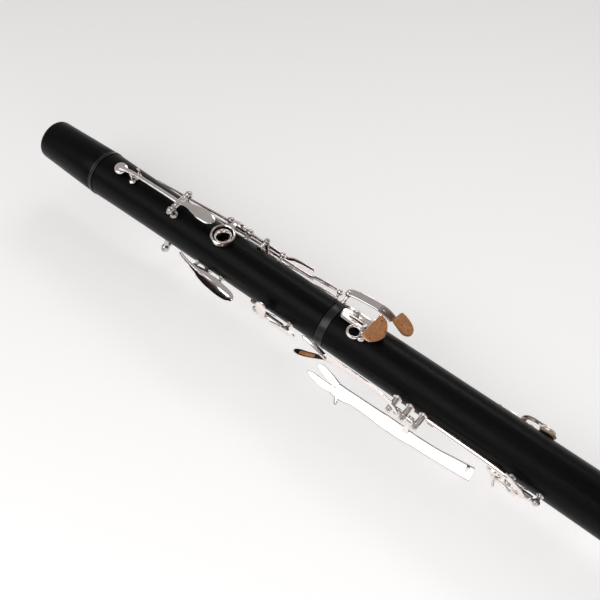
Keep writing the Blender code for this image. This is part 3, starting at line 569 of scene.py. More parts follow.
lowerJoint = {
    "profile": [(239.1, 11.2), (239.1, 13.2), (245, 13.2), (245, 14.5), (245.2, 14.7), (270, 14.8), (300, 14.9),
        (350, 15.0), (400, 15.1),
                (425, 15.25), (440, 15.42), (453, 15.85), (464.6, 16.4), (465, 16.1), (465, 9.9), (481, 9.9),
                    (481, 7.4), (420, 7.4),
                (255.4, 7.4), (255.4, 11.2)],
    "fingers": (262.0, 286.0, 310.0),
    "pads": [(377, 77, 4.0, 15.7), (366, 251, 4.0, 15.7), (398, 159, 4.8, 16.0), (428, 176, 5.2, 16.2)],
}
drilled(
    "lowerJointWood", wallOf(lowerJoint["profile"], 112, 0),
    [drill(x, 180, 4.0) for x in lowerJoint["fingers"]] + [drill(*row[:3]) for row in lowerJoint["pads"]],
    [chimney(x, 180, 13.0, 16.6, 4.0, 5.4) for x in lowerJoint["fingers"]]
    + [seat(x, angle, 15.1, level, radius, radius + 0.8) for x, angle, radius, level in lowerJoint["pads"]],
    wood, ["lower_joint"],
)

bell = {
    "outside": [(465.3, 16.6), (470, 16.6), (470, 18.0), (470.2, 18.2), (474, 18.0), (478, 17.6), (482.5, 16.85),
        (487, 16.4), (494, 16.5),
                (502, 17.1), (513, 18.6), (524, 20.6), (533, 22.9), (541, 25.8), (548.5, 28.7), (555, 31.8),
                    (560.5, 34.4), (565, 36.8),
                (568, 38.4), (568.9, 38.85), (569.4, 39.0), (569.9, 38.95), (570.4, 38.75), (570.5, 38.5),
                    (570.5, 37.2), (570.1, 36.7)],
    "inside": [(566.5, 34.6), (561, 31.9), (555, 29.2), (548.5, 26.1), (541, 23.2), (533, 20.4), (524, 18.0),
        (513, 16.0), (502, 14.4),
               (490, 12.9), (481.6, 12.2), (481.6, 11.2), (465.3, 11.2)],
}
piece("bellWood", [wallOf(bell["outside"] + bell["inside"], 144, 0)], wood, nodes=["bell"],
    sharp=28)
for name in ("barrel_cork", "middle_cork", "bell_cork"):
    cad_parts[name].data.materials.clear()
    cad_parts[name].data.materials.append(cork)
print("wooden body made")

# posts and rods

slottedEnd = {"radius": 0.46, "reach": 0.86}  # shares of the ball's size


def mountPiece(name, node, posts, rod, size, body, screws, finish=steel):
    # posts are (x, angle, radius) on the body, screws the (place, direction) of each slotted end
    shells = [rodShape(rod[0], rod[1], rod[2])]
    shells += [postShape(x, angle, radius, level, size) for (x, angle, radius), level in zip(posts, body)]
    for origin, direction in screws:
        start = Vector(origin) + Vector(direction) * size * slottedEnd["reach"]
        shells.append(slotted(start, direction, size * slottedEnd["radius"], 0.45, 0.3))
    return piece(name, shells, finish, nodes=[node])


# near x, far x, middle post x or None, angle, radius, body radius, ball size
rows = {
    "thumbRingMount": ("thumb_ring_mount", 147.4, 163.2, None, 60, 19.0, 14.35, 2.4),
    "ringMount": ("ring_mount", 143.6, 215.8, 165.4, 139, 18.5, 14.35, 2.3),
    "throatGSharpMount": ("throat_g_sharp_mount", 145.6, 165.6, None, -106, 18.2, 14.35, 2.1),
    "cSharpMount": ("c_sharp_mount", 197.4, 220.6, None, -100, 18.6, 14.3, 2.1),
    "lowerRingMount": ("lower_ring_mount", 252.4, 306.0, None, 135, 19.0, 14.8, 2.3),
    "fSharpMount": ("f_sharp_mount", 375.3, 392.5, None, -92, 19.7, 15.1, 2.15),
    "eFlatMount": ("e_flat_mount", 346.6, 367.0, None, 106, 19.4, 15.0, 2.2),
    "eMount": ("e_mount", 340.0, 389.0, None, -172, 20.0, 15.0, 2.2),
    "fMount": ("f_mount", 374.6, 423.0, None, 128, 20.0, 15.15, 2.2),
}
springs = []
for name, (node, near, far, middle, angle, radius, level, size) in rows.items():
    stops = [near] + ([middle] if middle else []) + [far]
    mountPiece(
        name, node, [(x, angle, radius) for x in stops],
        (polar(near - 0.7, angle, radius), polar(far + 0.7, angle, radius), 1.0),
        size, [level] * len(stops),
        [(polar(near, angle, radius), (-1, 0, 0)), (polar(far, angle, radius), (1, 0, 0))],
    )
    reach = min(13.0, (far - near) * 0.6)
    springs.append(rodShape(polar(near - size * 0.7, angle, radius - 1.0), polar(near + reach, angle, radius - 3.1),
        0.24, 8, 0))

across = {"register": (119.0, 19.6, (-7.2, 9.2), 2.5), "throat": (110.0, -22.6, (-9.4, 9.4), 2.9)}
for name, node, key in (("registerMount", "register_mount", "register"),
    ("throatAMount", "throat_a_mount", "throat")):
    x, z, sides, size = across[key]
    places = [(x, math.degrees(math.atan2(y, z)), math.hypot(y, z)) for y in sides]
    mountPiece(name, node, places, ((x, sides[0] - 0.7, z), (x, sides[1] + 0.7, z), 1.0), size, [14.4, 14.4],
               [((x, sides[0], z), (0, -1, 0)), ((x, sides[1], z), (0, 1, 0))])

sideMount = {"x": 176.0, "y": 17.8, "top": 9.9, "foot": -10.6}
x, y = sideMount["x"], sideMount["y"]
piece("sideMount", [
    rodShape((x, y, 9.6), (x, y, -10.9), 0.8),
    ballShape((x, y, sideMount["top"]), 2.0), ballShape((x, y, sideMount["foot"]), 1.9),
    spun([(0, 0), (0, 1.9), (0.5, 1.9), (0.8, 1.3), (1.3, 1.1), (6.2, 1.05), (6.2, 0)],
        along((x, 10.2, sideMount["top"]), (0, 1, 0)), 20),
    spun([(0, 0), (0, 1.7), (0.5, 1.7), (0.8, 1.2), (1.3, 1.0), (6.2, 0.95), (6.2, 0)],
        along((x, 10.0, sideMount["foot"]), (0, 1, 0)), 20),
    slotted((x, y, sideMount["top"] + 1.7), (0, 0, 1), 0.95),
], steel, nodes=["side_mount"])

for name, node, x in (("sideGuideA", "side_guide_1", 190.5), ("sideGuideB", "side_guide_2", 234.6)):
    piece(name, [postShape(x, 57.5, 18.8, 14.3, 2.0), slotted(polar(x, 57.5, 18.8) + Vector((1.72, 0, 0)),
        (1, 0, 0), 0.9)],
          silver, nodes=[node])

springWire = piece("needleSprings", springs, blued)
print("posts and rods made")

# register key

registerKey = {
    "axis": (119.0, 19.6),
    "arm": [((117.4, 0.5, 20.2), 3.0, 1.7), ((112, 0.5, 20.3), 2.9, 1.9), ((98, 0.35, 20.2), 2.7, 1.9),
        ((84, 0.2, 20.0), 2.7, 1.9),
            ((75, -0.4, 19.6), 2.8, 1.7), ((69, -1.0, 19.4), 3.6, 1.4)],
    "touch": [((119.6, 0.7, 20.6), 2.9, 1.6), ((124.5, 1.4, 21.6), 3.5, 1.5), ((131, 1.6, 22.4), 6.2, 1.4),
        ((138, 1.4, 22.7), 9.0, 1.35),
              ((143, 1.3, 22.8), 8.8, 1.3), ((148.2, 1.3, 22.7), 7.0, 1.2)],
    "cup": [(1.5, 0), (1.5, 3.6), (0.4, 3.6), (0.4, 4.3), (0.6, 4.4), (2.1, 4.35), (2.6, 4.1), (3.0, 3.3),
        (3.15, 1.8), (3.2, 0)],
}
x, z = registerKey["axis"]
piece("registerKey", [
    tubeShape((x, -4.3, z), (x, 6.2, z), 2.1, 1.35),
    lever(registerKey["arm"], (0, 0, 1), crown=1.25, square=0.42, sides=20),
    lever(registerKey["touch"], (0, 0, 1), tips=(0, 5.2), crown=0.6, dish=-0.5, sides=20, spacing=1.0),
    spun(registerKey["cup"], standing(68.6, -2.5, 16.2), 44, False, 0.05),
], silver, "register_key", ["register_key"])
registerPad = piece("registerPad", [spun([(0, 0), (0, 2.9), (0.25, 3.2), (1.2, 3.2), (1.2, 0)],
    standing(68.6, -2.5, 16.15), 36, False, 0.1)],
                    skin, "register_key", ["register_pad"])
piece("registerTube", [ringShape(standing(68.6, 0, 9.0), 1.0, 1.7, 7.0, 28, 0.1)], steel, nodes=["register_tube"])
saddle = {"x": 80.8, "ears": (-3.2, 3.2)}
x = saddle["x"]
piece("registerGuide", [
    lever([((x, -4.4, 15.3), 4.4, 1.3), ((x, -3.3, 15.9), 4.2, 1.5), ((x, 3.3, 15.9), 4.2, 1.5),
        ((x, 4.4, 15.3), 4.4, 1.3)], (0, 0, 1), tips=(1.5, 1.5))
] + [lever([((x, y, 15.6), 3.4, 1.4), ((x, y, 18.4), 2.0, 1.3), ((x, y, 21.8), 2.7, 1.3), ((x, y, 22.8), 2.6, 1.3)],
    (0, 1, 0), tips=(0, 1.4), spacing=0.5)
     for y in saddle["ears"]]
    + [slotted((x, y * 1.24, 15.9), (0, y * 0.25, 1), 0.8, 0.5) for y in saddle["ears"]], silver,
        nodes=["register_guide"])
print("register key made")

# thumb bush and ring

thumbTube = {"x": 155.9, "profile": [(8.2, 3.5), (8.2, 4.5), (14.4, 4.5), (14.4, 5.3), (15.2, 5.35), (16.4, 5.42),
    (16.9, 5.5), (17.05, 5.3), (17.05, 4.75), (16.7, 4.45), (14.0, 3.6)]}
piece("thumbTube", [spun(thumbTube["profile"], along((thumbTube["x"], 0, 0), (0, 0, 1)), 56, True, 0.08)], silver,
    nodes=["thumb_tube"])
piece("thumbRingKey", [
    tubeShape(polar(150.1, 60, 19), polar(160.5, 60, 19), 2.1, 1.35),
    spun([(0, 6.6), (0, 7.5), (0.35, 7.78), (2.5, 7.78), (2.9, 7.35), (3.0, 6.9), (2.7, 6.45), (0.4, 6.4)],
        along((155.9, 0, 15.6), (0, 0, 1)), 56, True, 0),
    bent((155.7, 24, 18.9, 4.6, 1.4), (155.4, 36, 20.6, 4.0, 1.5), (155.2, 50, 21.4, 4.4, 1.5),
        (155.2, 62, 20.9, 5.4, 1.5)),
], silver, "thumb_ring_key", ["thumb_ring_key"])
print("thumb ring made")


# ring keys

def fingerRing(x, level=16.7, inner=6.0, outer=7.2):
    mid = (inner + outer) / 2
    return spun([(0, inner + 0.1), (0, outer - 0.1), (0.4, outer + 0.02), (0.95, outer - 0.08), (1.25, mid + 0.25),
        (1.3, mid - 0.2), (1.0, inner + 0.03), (0.4, inner)],
                along((x, 0, -level), (0, 0, -1)), 52, True, 0)


def pieceWithPad(name, shells, body, node, pads):
    # a key whose cups hold their own pads: x, angle, level, radius, height
    made = piece(name, shells + [cupShape(*row) for row in pads], silver, body, [node])
    piece(name.replace("Key", "Pad"), [padShape(row[0], row[1], row[2], row[3]) for row in pads], skin,
        body, ())
    return made


rodAngle, rodRadius = 139.0, 18.5


def ringArm(x, side=0.0):
    return bent((x + side, rodAngle - 1, rodRadius + 1.9, 4.4, 1.6), (x + side / 2, 149, 19.9, 3.5, 1.5),
        (x, 159, 18.1, 4.0, 1.4))


pieceWithPad("firstRingKey", [
    tubeShape(polar(146.2, rodAngle, rodRadius), polar(162.8, rodAngle, rodRadius), 2.0, 1.35),
    fingerRing(152.0), ringArm(152.0),
    bent((160.2, rodAngle, rodRadius + 1.95, 4.0, 1.6), (161.2, 150, 19.6, 3.3, 1.5), (162.6, 165, 18.3, 3.6, 1.5),
        tips=(0, 1.6)),
], "first_ring_key", "first_ring_key", [(162.6, 166, 15.4, 4.0, 3.0)])
pieceWithPad("secondRingKey", [
    tubeShape(polar(168.0, rodAngle, rodRadius), polar(213.2, rodAngle, rodRadius), 2.0, 1.35),
    fingerRing(176.0), ringArm(176.0, 6.6), fingerRing(203.0), ringArm(203.0),
    bent((210.6, rodAngle, rodRadius + 1.95, 4.0, 1.6), (213, 154, 19.8, 3.3, 1.5), (216, 175, 18.5, 3.8, 1.5),
        tips=(0, 1.6)),
    bent((211.4, 148.6, 20.2, 3.0, 1.3), (224, 158, 20.8, 2.9, 1.5), (236, 160, 21.0, 3.2, 1.5),
        (245.5, 160, 21.0, 4.4, 1.5), tips=(0, 2.2)),
], "second_ring_key", "second_ring_key", [(216, 176, 15.4, 4.6, 3.0)])

lowerRod = (135.0, 19.0)


def lowerArm(x, start):
    return bent((start, 134, 20.95, 4.4, 1.6), ((x + start) / 2, 147, 20.6, 3.5, 1.5), (x, 159, 18.7, 4.0, 1.4))


piece("lowerRingKey", [
    tubeShape(polar(255.0, *lowerRod), polar(303.4, *lowerRod), 2.0, 1.35),
    fingerRing(262.0, 17.3, 6.3, 7.5), lowerArm(262.0, 262.0), fingerRing(286.0, 17.3, 6.3, 7.5),
        lowerArm(286.0, 286.0),
    fingerRing(310.0, 17.3, 6.3, 7.5), lowerArm(307.0, 300.0),
    bent((257.4, 135, 20.95, 3.6, 1.6), (254, 148, 20.2, 2.9, 1.4), (248, 160, 18.4, 4.2, 1.3), tips=(0, 2.0)),
], silver, "lower_ring_key", ["lower_ring_key"])
print("ring keys made")

# throat keys

throatA = {"x": 110.0, "z": -22.6}
pieceWithPad("throatAKey", [
    tubeShape((110, -6, -22.6), (110, 6, -22.6), 2.1, 1.35),
    lever([((109.4, 0, -22.9), 3.6, 1.5), ((100, 0, -21.6), 3.2, 1.6), ((90, 0, -19.8), 3.2, 1.6),
        ((83, 0, -18.9), 3.8, 1.4)], (0, 0, -1), tips=(0, 1.6)),
    lever([((110.6, 0, -23.0), 3.4, 1.5), ((116, 0, -22.4), 5.0, 1.4), ((122, 0, -22.0), 7.2, 1.3),
        ((126.5, 0, -21.8), 6.6, 1.3), ((129.6, 0, -21.7), 5.4, 1.2)],
          (0, 0, -1), tips=(0, 3.4), dish=-0.4),
], "throat_a_key", "throat_a_key", [(84, 180, 15.2, 4.9, 3.6)])

sharpRod = (-106.0, 18.2)
spoonFace = (0, 0.3, 0.95)
pieceWithPad("throatGSharpKey", [
    tubeShape(polar(148.2, *sharpRod), polar(163.0, *sharpRod), 2.0, 1.35),
    lever([((137.0, -20.2, 5.2), 2.4, 1.3), ((144.0, -21.6, 3.4), 2.7, 1.4), ((151.0, -22.4, 2.0), 4.6, 1.3),
        ((158.0, -22.9, 1.0), 8.6, 1.2),
           ((166.0, -23.4, 0.2), 10.8, 1.1), ((174.0, -24.0, -0.4), 10.4, 1.1), ((180.0, -24.2, -0.8), 8.6, 1.1),
               ((183.4, -24.2, -1.0), 7.4, 1.1)],
          spoonFace, tips=(1.3, 4.4), dish=1.5, crown=0.5, sides=24, spacing=0.9),
    bent((156.4, -106, 20.2, 5.0, 1.5), (156.2, -97, 22.0, 4.4, 1.5), (156.4, -88, 23.2, 5.0, 1.4)),
    bent((151.6, -106, 20.2, 3.4, 1.5), (151.6, -122, 20.0, 3.0, 1.5), (149.5, -140, 18.6, 2.8, 1.5),
        (146.5, -152, 17.9, 2.8, 1.4),
         (141.0, -162, 17.9, 2.8, 1.4), (134.4, -165.5, 18.0, 3.4, 1.4), tips=(0, 1.6)),
], "throat_g_sharp_key", "throat_g_sharp_key", [(134, 194, 15.2, 3.6, 3.0)])
piece("spoonCork", [lever([((163.0, -21.7, -1.2), 5.4, 1.1), ((170.5, -22.2, -1.7), 5.6, 1.1)], spoonFace,
    tips=(1.2, 1.2))],
      cork, "throat_g_sharp_key", ())
print("throat keys made")

# side keys

sideKeys = {
    "levels": (5.6, 1.4, -2.8, -7.0), "pads": ((82.0, 100), (100.0, 112), (118.0, 124), (135.0, 136)),
    "touches": ((196.0, 211.0), (213.0, 229.0), (196.0, 211.0), (213.0, 229.0)), "out": 17.8, "x": 176.0,
}
for index, (level, (padX, padAngle), (near, far)) in enumerate(zip(sideKeys["levels"], sideKeys["pads"],
    sideKeys["touches"]), 1):
    out, x = sideKeys["out"], sideKeys["x"]
    top = polar(padX, padAngle, 18.0)
    bend = top.z + 1.9
    reach = 1.2 if near > 200 else 0.6
    pieceWithPad(f"sideKey{index}", [
        tubeShape((x, out, level + 1.9), (x, out, level - 1.9), 1.8, 1.1),
        lever([((x - 1.4, out + 0.5, level), 3.0, 1.3), ((x - 8, out + 0.7, level), 2.3, 1.4),
            ((padX + 12, out + 0.5, bend), 2.3, 1.4),
               ((padX + 4, out + 0.1, bend - 0.6), 2.4, 1.4), ((padX - 1.2, top.y + 0.5, top.z + 0.3), 3.2, 1.3)],
                   (0, 1, 0), tips=(0, 1.4)),
        lever([((x + 1.4, out + 0.5, level), 3.0, 1.3), ((near - 4, out + reach, level), 2.3, 1.4),
            ((near, out + 2.2, level), 3.0, 1.4),
               (((near + far) / 2, out + 2.9, level), 3.8, 1.3), ((far - 2, out + 3.1, level), 3.7, 1.3),
                   ((far, out + 3.0, level), 3.4, 1.2)],
              (0, 1, 0), tips=(0, 1.7), dish=-0.3),
    ], f"side_key_{index}", f"side_key_{index}", [(padX, padAngle, 15.2, 3.6, 3.0)])
print("side keys made")

# C sharp key

cSharpRod = (-100.0, 18.6)
pieceWithPad("cSharpKey", [
    tubeShape(polar(199.8, *cSharpRod), polar(218.2, *cSharpRod), 2.0, 1.35),
    bent((204, -101, 20.5, 4.6, 1.5), (203.4, -88, 21.0, 6.2, 1.4), (203, -76, 21.0, 8.4, 1.3),
        (203, -63.5, 21.0, 6.6, 1.2), tips=(0, 3.4), dish=-0.5),
    bent((211, -100, 20.5, 3.8, 1.5), (214, -92, 21.2, 3.4, 1.4), (224, -88, 21.4, 3.6, 1.3),
        (230, -86, 21.2, 2.6, 1.1), tips=(0, 3.0)),
    bent((201.6, -100, 20.5, 3.6, 1.5), (200, -116, 20.2, 3.0, 1.5), (193, -136, 18.9, 3.0, 1.5),
        (189.6, -146, 18.3, 3.4, 1.4), tips=(0, 1.5)),
], "c_sharp_key", "c_sharp_key", [(190, 215, 15.2, 4.4, 3.2)])
print("C sharp key made")

# thumb rest, strap ring and side rest

tongue = {
    "face": Vector((0.53, 0.1, 0.84)).normalized(),
    "stations": [((265.9, 1.7, 21.4), 17.6), ((269.2, 1.6, 19.7), 17.4), ((272.6, 1.6, 18.0), 14.4),
        ((275.2, 1.6, 16.8), 10.6)],
}
plateFace = (0, 0.2, 0.98)
piece("thumbRestPlate", [
    lever([((246.2, 3.4, 16.0), 7.4, 1.3), ((249, 3.4, 16.1), 10.4, 1.5), ((255, 3.4, 16.1), 10.9, 1.5),
        ((262, 3.4, 16.1), 10.6, 1.5), ((265.8, 3.4, 16.1), 7.4, 1.3)],
          plateFace, tips=(2.0, 2.0), sides=20),
    lever([((248.2, 0.2, 17.1), 1.5, 1.8), ((255, -0.2, 17.3), 1.7, 1.9), ((263.6, 0.2, 17.1), 1.5, 1.8)],
        plateFace, tips=(1.0, 1.0), crown=0.9),
    lever([((248.2, 7.5, 15.7), 1.5, 1.8), ((255, 7.9, 15.7), 1.7, 1.9), ((263.6, 7.5, 15.7), 1.5, 1.8)], plateFace,
        tips=(1.0, 1.0), crown=0.9),
    slotted((247.9, 3.5, 16.5), plateFace, 1.35, 0.7, 0.4), slotted((264.4, 0.8, 16.8), plateFace, 1.2, 0.8, 0.4),
], silver, nodes=["thumb_rest_plate"])
piece("thumbRestHook", [
    lever([((250.6, 4.0, 18.0), 4.6, 1.4), ((257, 4.0, 18.1), 4.2, 1.6), ((260.6, 4.0, 18.5), 4.6, 1.6),
        ((263.9, 3.6, 19.5), 6.0, 1.6), ((266.6, 1.9, 20.7), 10.6, 1.4)],
          plateFace, tips=(1.6, 0.8), sides=20, spacing=0.9),
    lever([(Vector(point), width, 1.2) for point, width in tongue["stations"]], tongue["face"], tips=(0.8, 4.6),
        sides=20, spacing=0.8),
], silver, nodes=["thumb_rest_hook"])
thumbCork = piece("thumbRestCork", [
    lever([(Vector(point) + tongue["face"] * 2.1, width + 1.1, thick) for (point, width),
        thick in zip(tongue["stations"], (2.2, 2.9, 2.9, 2.2))],
          tongue["face"], tips=(0.7, 5.4), sides=28, spacing=0.6, square=0.38, crown=0.5),
], cork, nodes=["thumb_rest_cork"])
piece("thumbRestScrew", [
    spun([(0, 0), (0, 2.0), (0.5, 2.05), (1.9, 2.05), (2.3, 1.8), (2.5, 1.3), (2.5, 0)],
        along((255, 4.2, 19.5), (0, 0.08, 1)), 28),
    slotted((255, 4.4, 22.0), (0, 0.08, 1), 1.3, 0.8, 0.42),
], steel, nodes=["thumb_rest_screw"])
strap = {"eye": (261.4, -6.4, 19.6)}
piece("strapRing", [
    spun([(1.0 * math.sin(math.radians(a)), 3.95 + 0.82 * math.cos(math.radians(a))) for a in range(0, 360, 24)],
        along(strap["eye"], (0.1, 0.05, 1)), 44, True, 0),
    rodShape((265.5, -4.8, 15.4), (265.3, -5.2, 20.1), 1.2, 20, 0.3),
    spun([(0, 0), (0, 2.3), (0.6, 2.3), (1.0, 1.8), (1.2, 0)], along((265.6, -4.8, 15.2), (0, -0.3, 1)), 28),
], silver, nodes=["strap_ring"])

restFace = (0, -0.25, 0.97)
sideArm = [((238.6, 16.4, 13.0), 3.8, 1.8), ((243, 17.2, 14.6), 4.8, 1.7), ((251, 18.2, 15.4), 5.2, 1.6),
    ((260, 19.0, 15.2), 5.2, 1.6),
           ((266, 19.3, 13.8), 5.2, 1.6), ((271.4, 19.0, 11.3), 5.2, 1.5)]
piece("sideRestArm", [
    postShape(240.6, 51, 21.0, 14.9, 2.2), slotted(polar(240.6, 51, 21.0) + Vector((-1.9, 0, 0)), (-1, 0, 0), 1.0),
    lever(sideArm, restFace, tips=(1.6, 1.2), dish=0.35, sides=22),
    rodShape(polar(264, 55, 14.9), polar(264, 55, 24.2), 1.3, 22, 0.2),
        rodShape(polar(264, 55, 14.6), polar(264, 55, 16.0), 2.4, 24, 0.35),
    spun([(0, 0), (0, 1.7), (0.5, 1.7), (0.7, 1.3), (0.7, 0)], standing(264, 55, 23.6), 24),
], silver, nodes=["side_rest_arm"])
sideCork = piece("sideRestCork", [
    lever([((272.2, 20.4, 14.7), 9.6, 1.9), ((276.6, 20.0, 12.6), 10.4, 2.6), ((280.6, 19.2, 10.4), 9.6, 2.9),
        ((284.4, 18.2, 8.5), 7.6, 2.3)],
          (0.35, 0.2, 0.92), tips=(0.8, 4.6), sides=28, spacing=0.6, square=0.38, crown=0.5),
], cork, nodes=["side_rest_cork"])
print("thumb rest made")

# left little-finger levers

leverPosts = {"x": (300.4, 309.2, 318.0), "angle": -90, "radius": 22.0}
shells = [rodShape(polar(299.8, -90, 22), polar(318.6, -90, 22), 0.8)]
for x in leverPosts["x"]:
    shells.append(spun(
        [(14.4, 0), (14.4, 2.9), (15.7, 2.9), (16.0, 2.6), (16.15, 2.2), (16.6, 2.0), (19.6, 1.9), (22.2, 1.9),
            (22.4, 2.05), (22.9, 2.05),
         (23.1, 1.92), (24.9, 2.0), (25.7, 1.85), (26.1, 1.4), (26.1, 0)],
        along((x, 0, 0), polar(0, -90, 1.0)), 28, False, 0.06))
    shells.append(slotted(polar(x, -90, 25.9), polar(0, -90, 1.0), 1.3, 0.4, 0.42))
piece("leftLeverMount", shells, silver, nodes=["left_lever_mount"])

innerFace = (0, -1, 0.25)
forkFace = (0, 0.3, 0.95)
piece("leftLeverInner", [
    tubeShape(polar(302.8, -90, 22), polar(306.8, -90, 22), 1.8, 1.1),
    lever([((304.8, -23.7, -0.6), 3.2, 1.5), ((304.5, -23.9, 2.6), 2.7, 1.5), ((300, -23.0, 5.1), 2.8, 1.6),
        ((288, -21.6, 5.0), 3.0, 1.6), ((272, -20.6, 3.6), 3.2, 1.6),
           ((262, -21.0, 3.2), 3.6, 1.6), ((251.6, -21.4, 2.6), 4.6, 1.6)], innerFace, tips=(0, 1.2)),
    lever([((254.4, -21.5, 2.4), 3.4, 1.5), ((246, -21.3, 5.4), 4.0, 1.4), ((239, -21.2, 7.2), 3.2, 1.3),
        ((235.4, -21.1, 7.7), 2.2, 1.2)], forkFace,
          tips=(0.8, 3.6), dish=0.5),
    lever([((254.4, -21.7, 1.7), 3.4, 1.5), ((245, -23.2, -2.4), 5.6, 1.5), ((238, -24.2, -5.2), 6.0, 1.4),
        ((231.8, -24.6, -6.7), 4.4, 1.3)], forkFace,
          tips=(0.8, 4.6), dish=0.6),
], silver, "left_lever_inner", ["left_lever_inner"])
piece("leverCork", [lever([((236.4, -24.2, -4.9), 2.4, 1.0), ((246.6, -22.8, -0.8), 2.4, 1.0)], forkFace,
    tips=(0.9, 0.9))],
      cork, "left_lever_inner", ())

outer = {
    "face": (0, -0.56, 0.83),
    "blade": [((263.3, -28.2, -8.9), 6.6, 1.6), ((267.6, -28.6, -9.5), 8.8, 1.7), ((272.6, -28.5, -9.6), 8.6, 1.7),
        ((280, -27.8, -9.2), 7.3, 1.6),
              ((292, -27.6, -9.4), 7.7, 1.6), ((303, -27.4, -9.7), 8.6, 1.6), ((312, -27.3, -9.7), 8.4, 1.6),
                  ((322, -27.0, -9.3), 7.2, 1.6),
              ((334, -26.6, -8.7), 7.2, 1.6), ((344, -25.9, -7.9), 7.8, 1.6), ((357.4, -25.0, -6.6), 8.4, 1.6)],
}
piece("leftLeverOuter", [
    tubeShape(polar(311.6, -90, 22), polar(315.6, -90, 22), 1.8, 1.1),
    lever([((313.6, -23.7, 0.8), 3.2, 1.5), ((313.6, -24.2, -2.6), 3.0, 1.5), ((313.8, -26.4, -8.4), 4.2, 1.5)],
        (0, -1, 0.1)),
    lever(outer["blade"], outer["face"], tips=(1.6, 0.35), square=0.36, crown=0.6, sides=24, spacing=1.4),
    lever([((267.2, -26.8, -7.8), 4.0, 1.6), ((259.8, -25.8, -6.0), 5.2, 1.5), ((253.8, -24.6, -5.0), 4.4, 1.4),
        ((249.6, -24.0, -4.5), 3.0, 1.2)], outer["face"],
          tips=(0.8, 5.4), dish=0.5, sides=20),
    lever([((267.2, -29.6, -9.8), 3.8, 1.6), ((258.8, -30.2, -10.0), 4.9, 1.5), ((251.8, -29.8, -9.6), 4.0, 1.4),
        ((246.6, -29.3, -9.1), 2.8, 1.2)], outer["face"],
          tips=(0.8, 5.4), dish=0.5, sides=20),
    lever([((269.2, -29.9, -10.4), 4.4, 1.6), ((270.4, -32.6, -12.4), 3.2, 1.5), ((271.3, -34.7, -14.3), 2.4, 1.4)],
        outer["face"], tips=(0, 1.2), spacing=0.7),
    rodShape((353.4, -25.6, -7.6), (353.4, -23.6, -3.2), 0.9, 18, 0.2),
], silver, "left_lever_outer", ["left_lever_outer"])
print("left levers made")

# F sharp, E flat, E and F keys

fSharpRod = (-92.0, 19.7)
piece("fSharpKey", [
    tubeShape(polar(377.9, *fSharpRod), polar(389.9, *fSharpRod), 2.0, 1.35),
    bent((381, -91, 21.6, 4.0, 1.5), (380, -102, 21.8, 3.4, 1.5), (373, -108, 20.6, 3.2, 1.5),
        (365.4, -108.5, 19.7, 4.4, 1.5), tips=(0, 1.8)),
    bent((385.6, -93, 21.6, 4.0, 1.5), (383.0, -82, 21.3, 3.6, 1.5), (372, -76, 19.9, 3.9, 1.5)),
    lever([(polar(374.4, -76.4, 19.9), 3.7, 1.4), (polar(358, -75.4, 19.3), 4.4, 1.5),
        (polar(340, -75.4, 19.0), 4.6, 1.5),
           (polar(321.2, -75.4, 18.8), 4.2, 1.4)], forkFace, tips=(0.6, 1.4), dish=0.3),
    cupShape(366, 251, 16.2, 5.4, 3.2),
    bent((365.8, -108, 19.0, 3.6, 1.4), (368, -114, 22.4, 2.6, 1.4), (369.2, -115.3, 24.6, 2.4, 1.3), tips=(0, 1.1)),
], silver, "f_sharp_key", ["f_sharp_key"])
piece("armCork", [lever([(polar(322.6, -76, 19.9), 2.6, 0.9), (polar(327.4, -76, 20.0), 2.6, 0.9)], forkFace,
    tips=(0.8, 0.8))],
      cork, "f_sharp_key", ())
piece("fSharpPad", [padShape(366, 251, 15.9, 5.4, 1.9)], skin, "f_sharp_key", ["f_sharp_pad"])

eFlatRod = (106.0, 19.4)
piece("eFlatKey", [
    tubeShape(polar(349.1, *eFlatRod), polar(364.5, *eFlatRod), 2.0, 1.35),
    bent((361, 107, 21.3, 4.0, 1.5), (362, 96, 21.4, 3.4, 1.5), (377, 79.5, 20.0, 4.2, 1.5), tips=(0, 1.8)),
    bent((355, 105, 21.3, 4.6, 1.5), (355, 124, 21.8, 7.0, 1.5), (355, 140, 21.8, 9.2, 1.4),
        (355, 153, 21.6, 7.6, 1.3), tips=(0, 3.6), dish=-0.4),
    cupShape(377, 77, 16.4, 5.6, 3.4),
], silver, "e_flat_key", ["e_flat_key"])
piece("eFlatPad", [padShape(377, 77, 16.1, 5.6, 1.9)], skin, "e_flat_key", ["e_flat_pad"])

eRod = (-172.0, 20.0)
pieceWithPad("eKey", [
    tubeShape(polar(342.5, *eRod), polar(386.5, *eRod), 2.0, 1.35),
    bent((384, -171, 21.9, 4.2, 1.5), (386, -183, 22.2, 3.6, 1.5), (398, -200, 21.2, 4.6, 1.5), tips=(0, 1.8)),
    bent((347, -171, 21.9, 4.6, 1.5), (346, -185, 22.2, 7.0, 1.5), (346, -197, 22.0, 8.0, 1.4),
        (346, -206, 21.8, 6.4, 1.3), tips=(0, 3.0), dish=-0.4),
], "e_key", "e_key", [(398, 159, 17.0, 6.4, 3.6)])

fRod = (128.0, 20.0)
piece("fKey", [
    tubeShape(polar(377.1, *fRod), polar(420.5, *fRod), 2.0, 1.35),
    bent((417, 127, 21.9, 4.2, 1.5), (420, 146, 22.6, 3.8, 1.5), (428, 173, 21.6, 4.8, 1.5), tips=(0, 1.8)),
    bent((381, 127, 21.9, 4.6, 1.5), (378, 144, 22.2, 6.0, 1.5), (371, 158, 22.0, 8.2, 1.4),
        (364, 166.6, 21.8, 6.6, 1.3), tips=(0, 3.2), dish=-0.4),
    cupShape(428, 176, 17.6, 7.4, 3.8),
], silver, "f_key", ["f_key"])
piece("fPad", [padShape(428, 176, 17.3, 7.4, 1.9)], skin, "f_key", ["f_pad"])
print("lower keys made")

# floor, light and camera

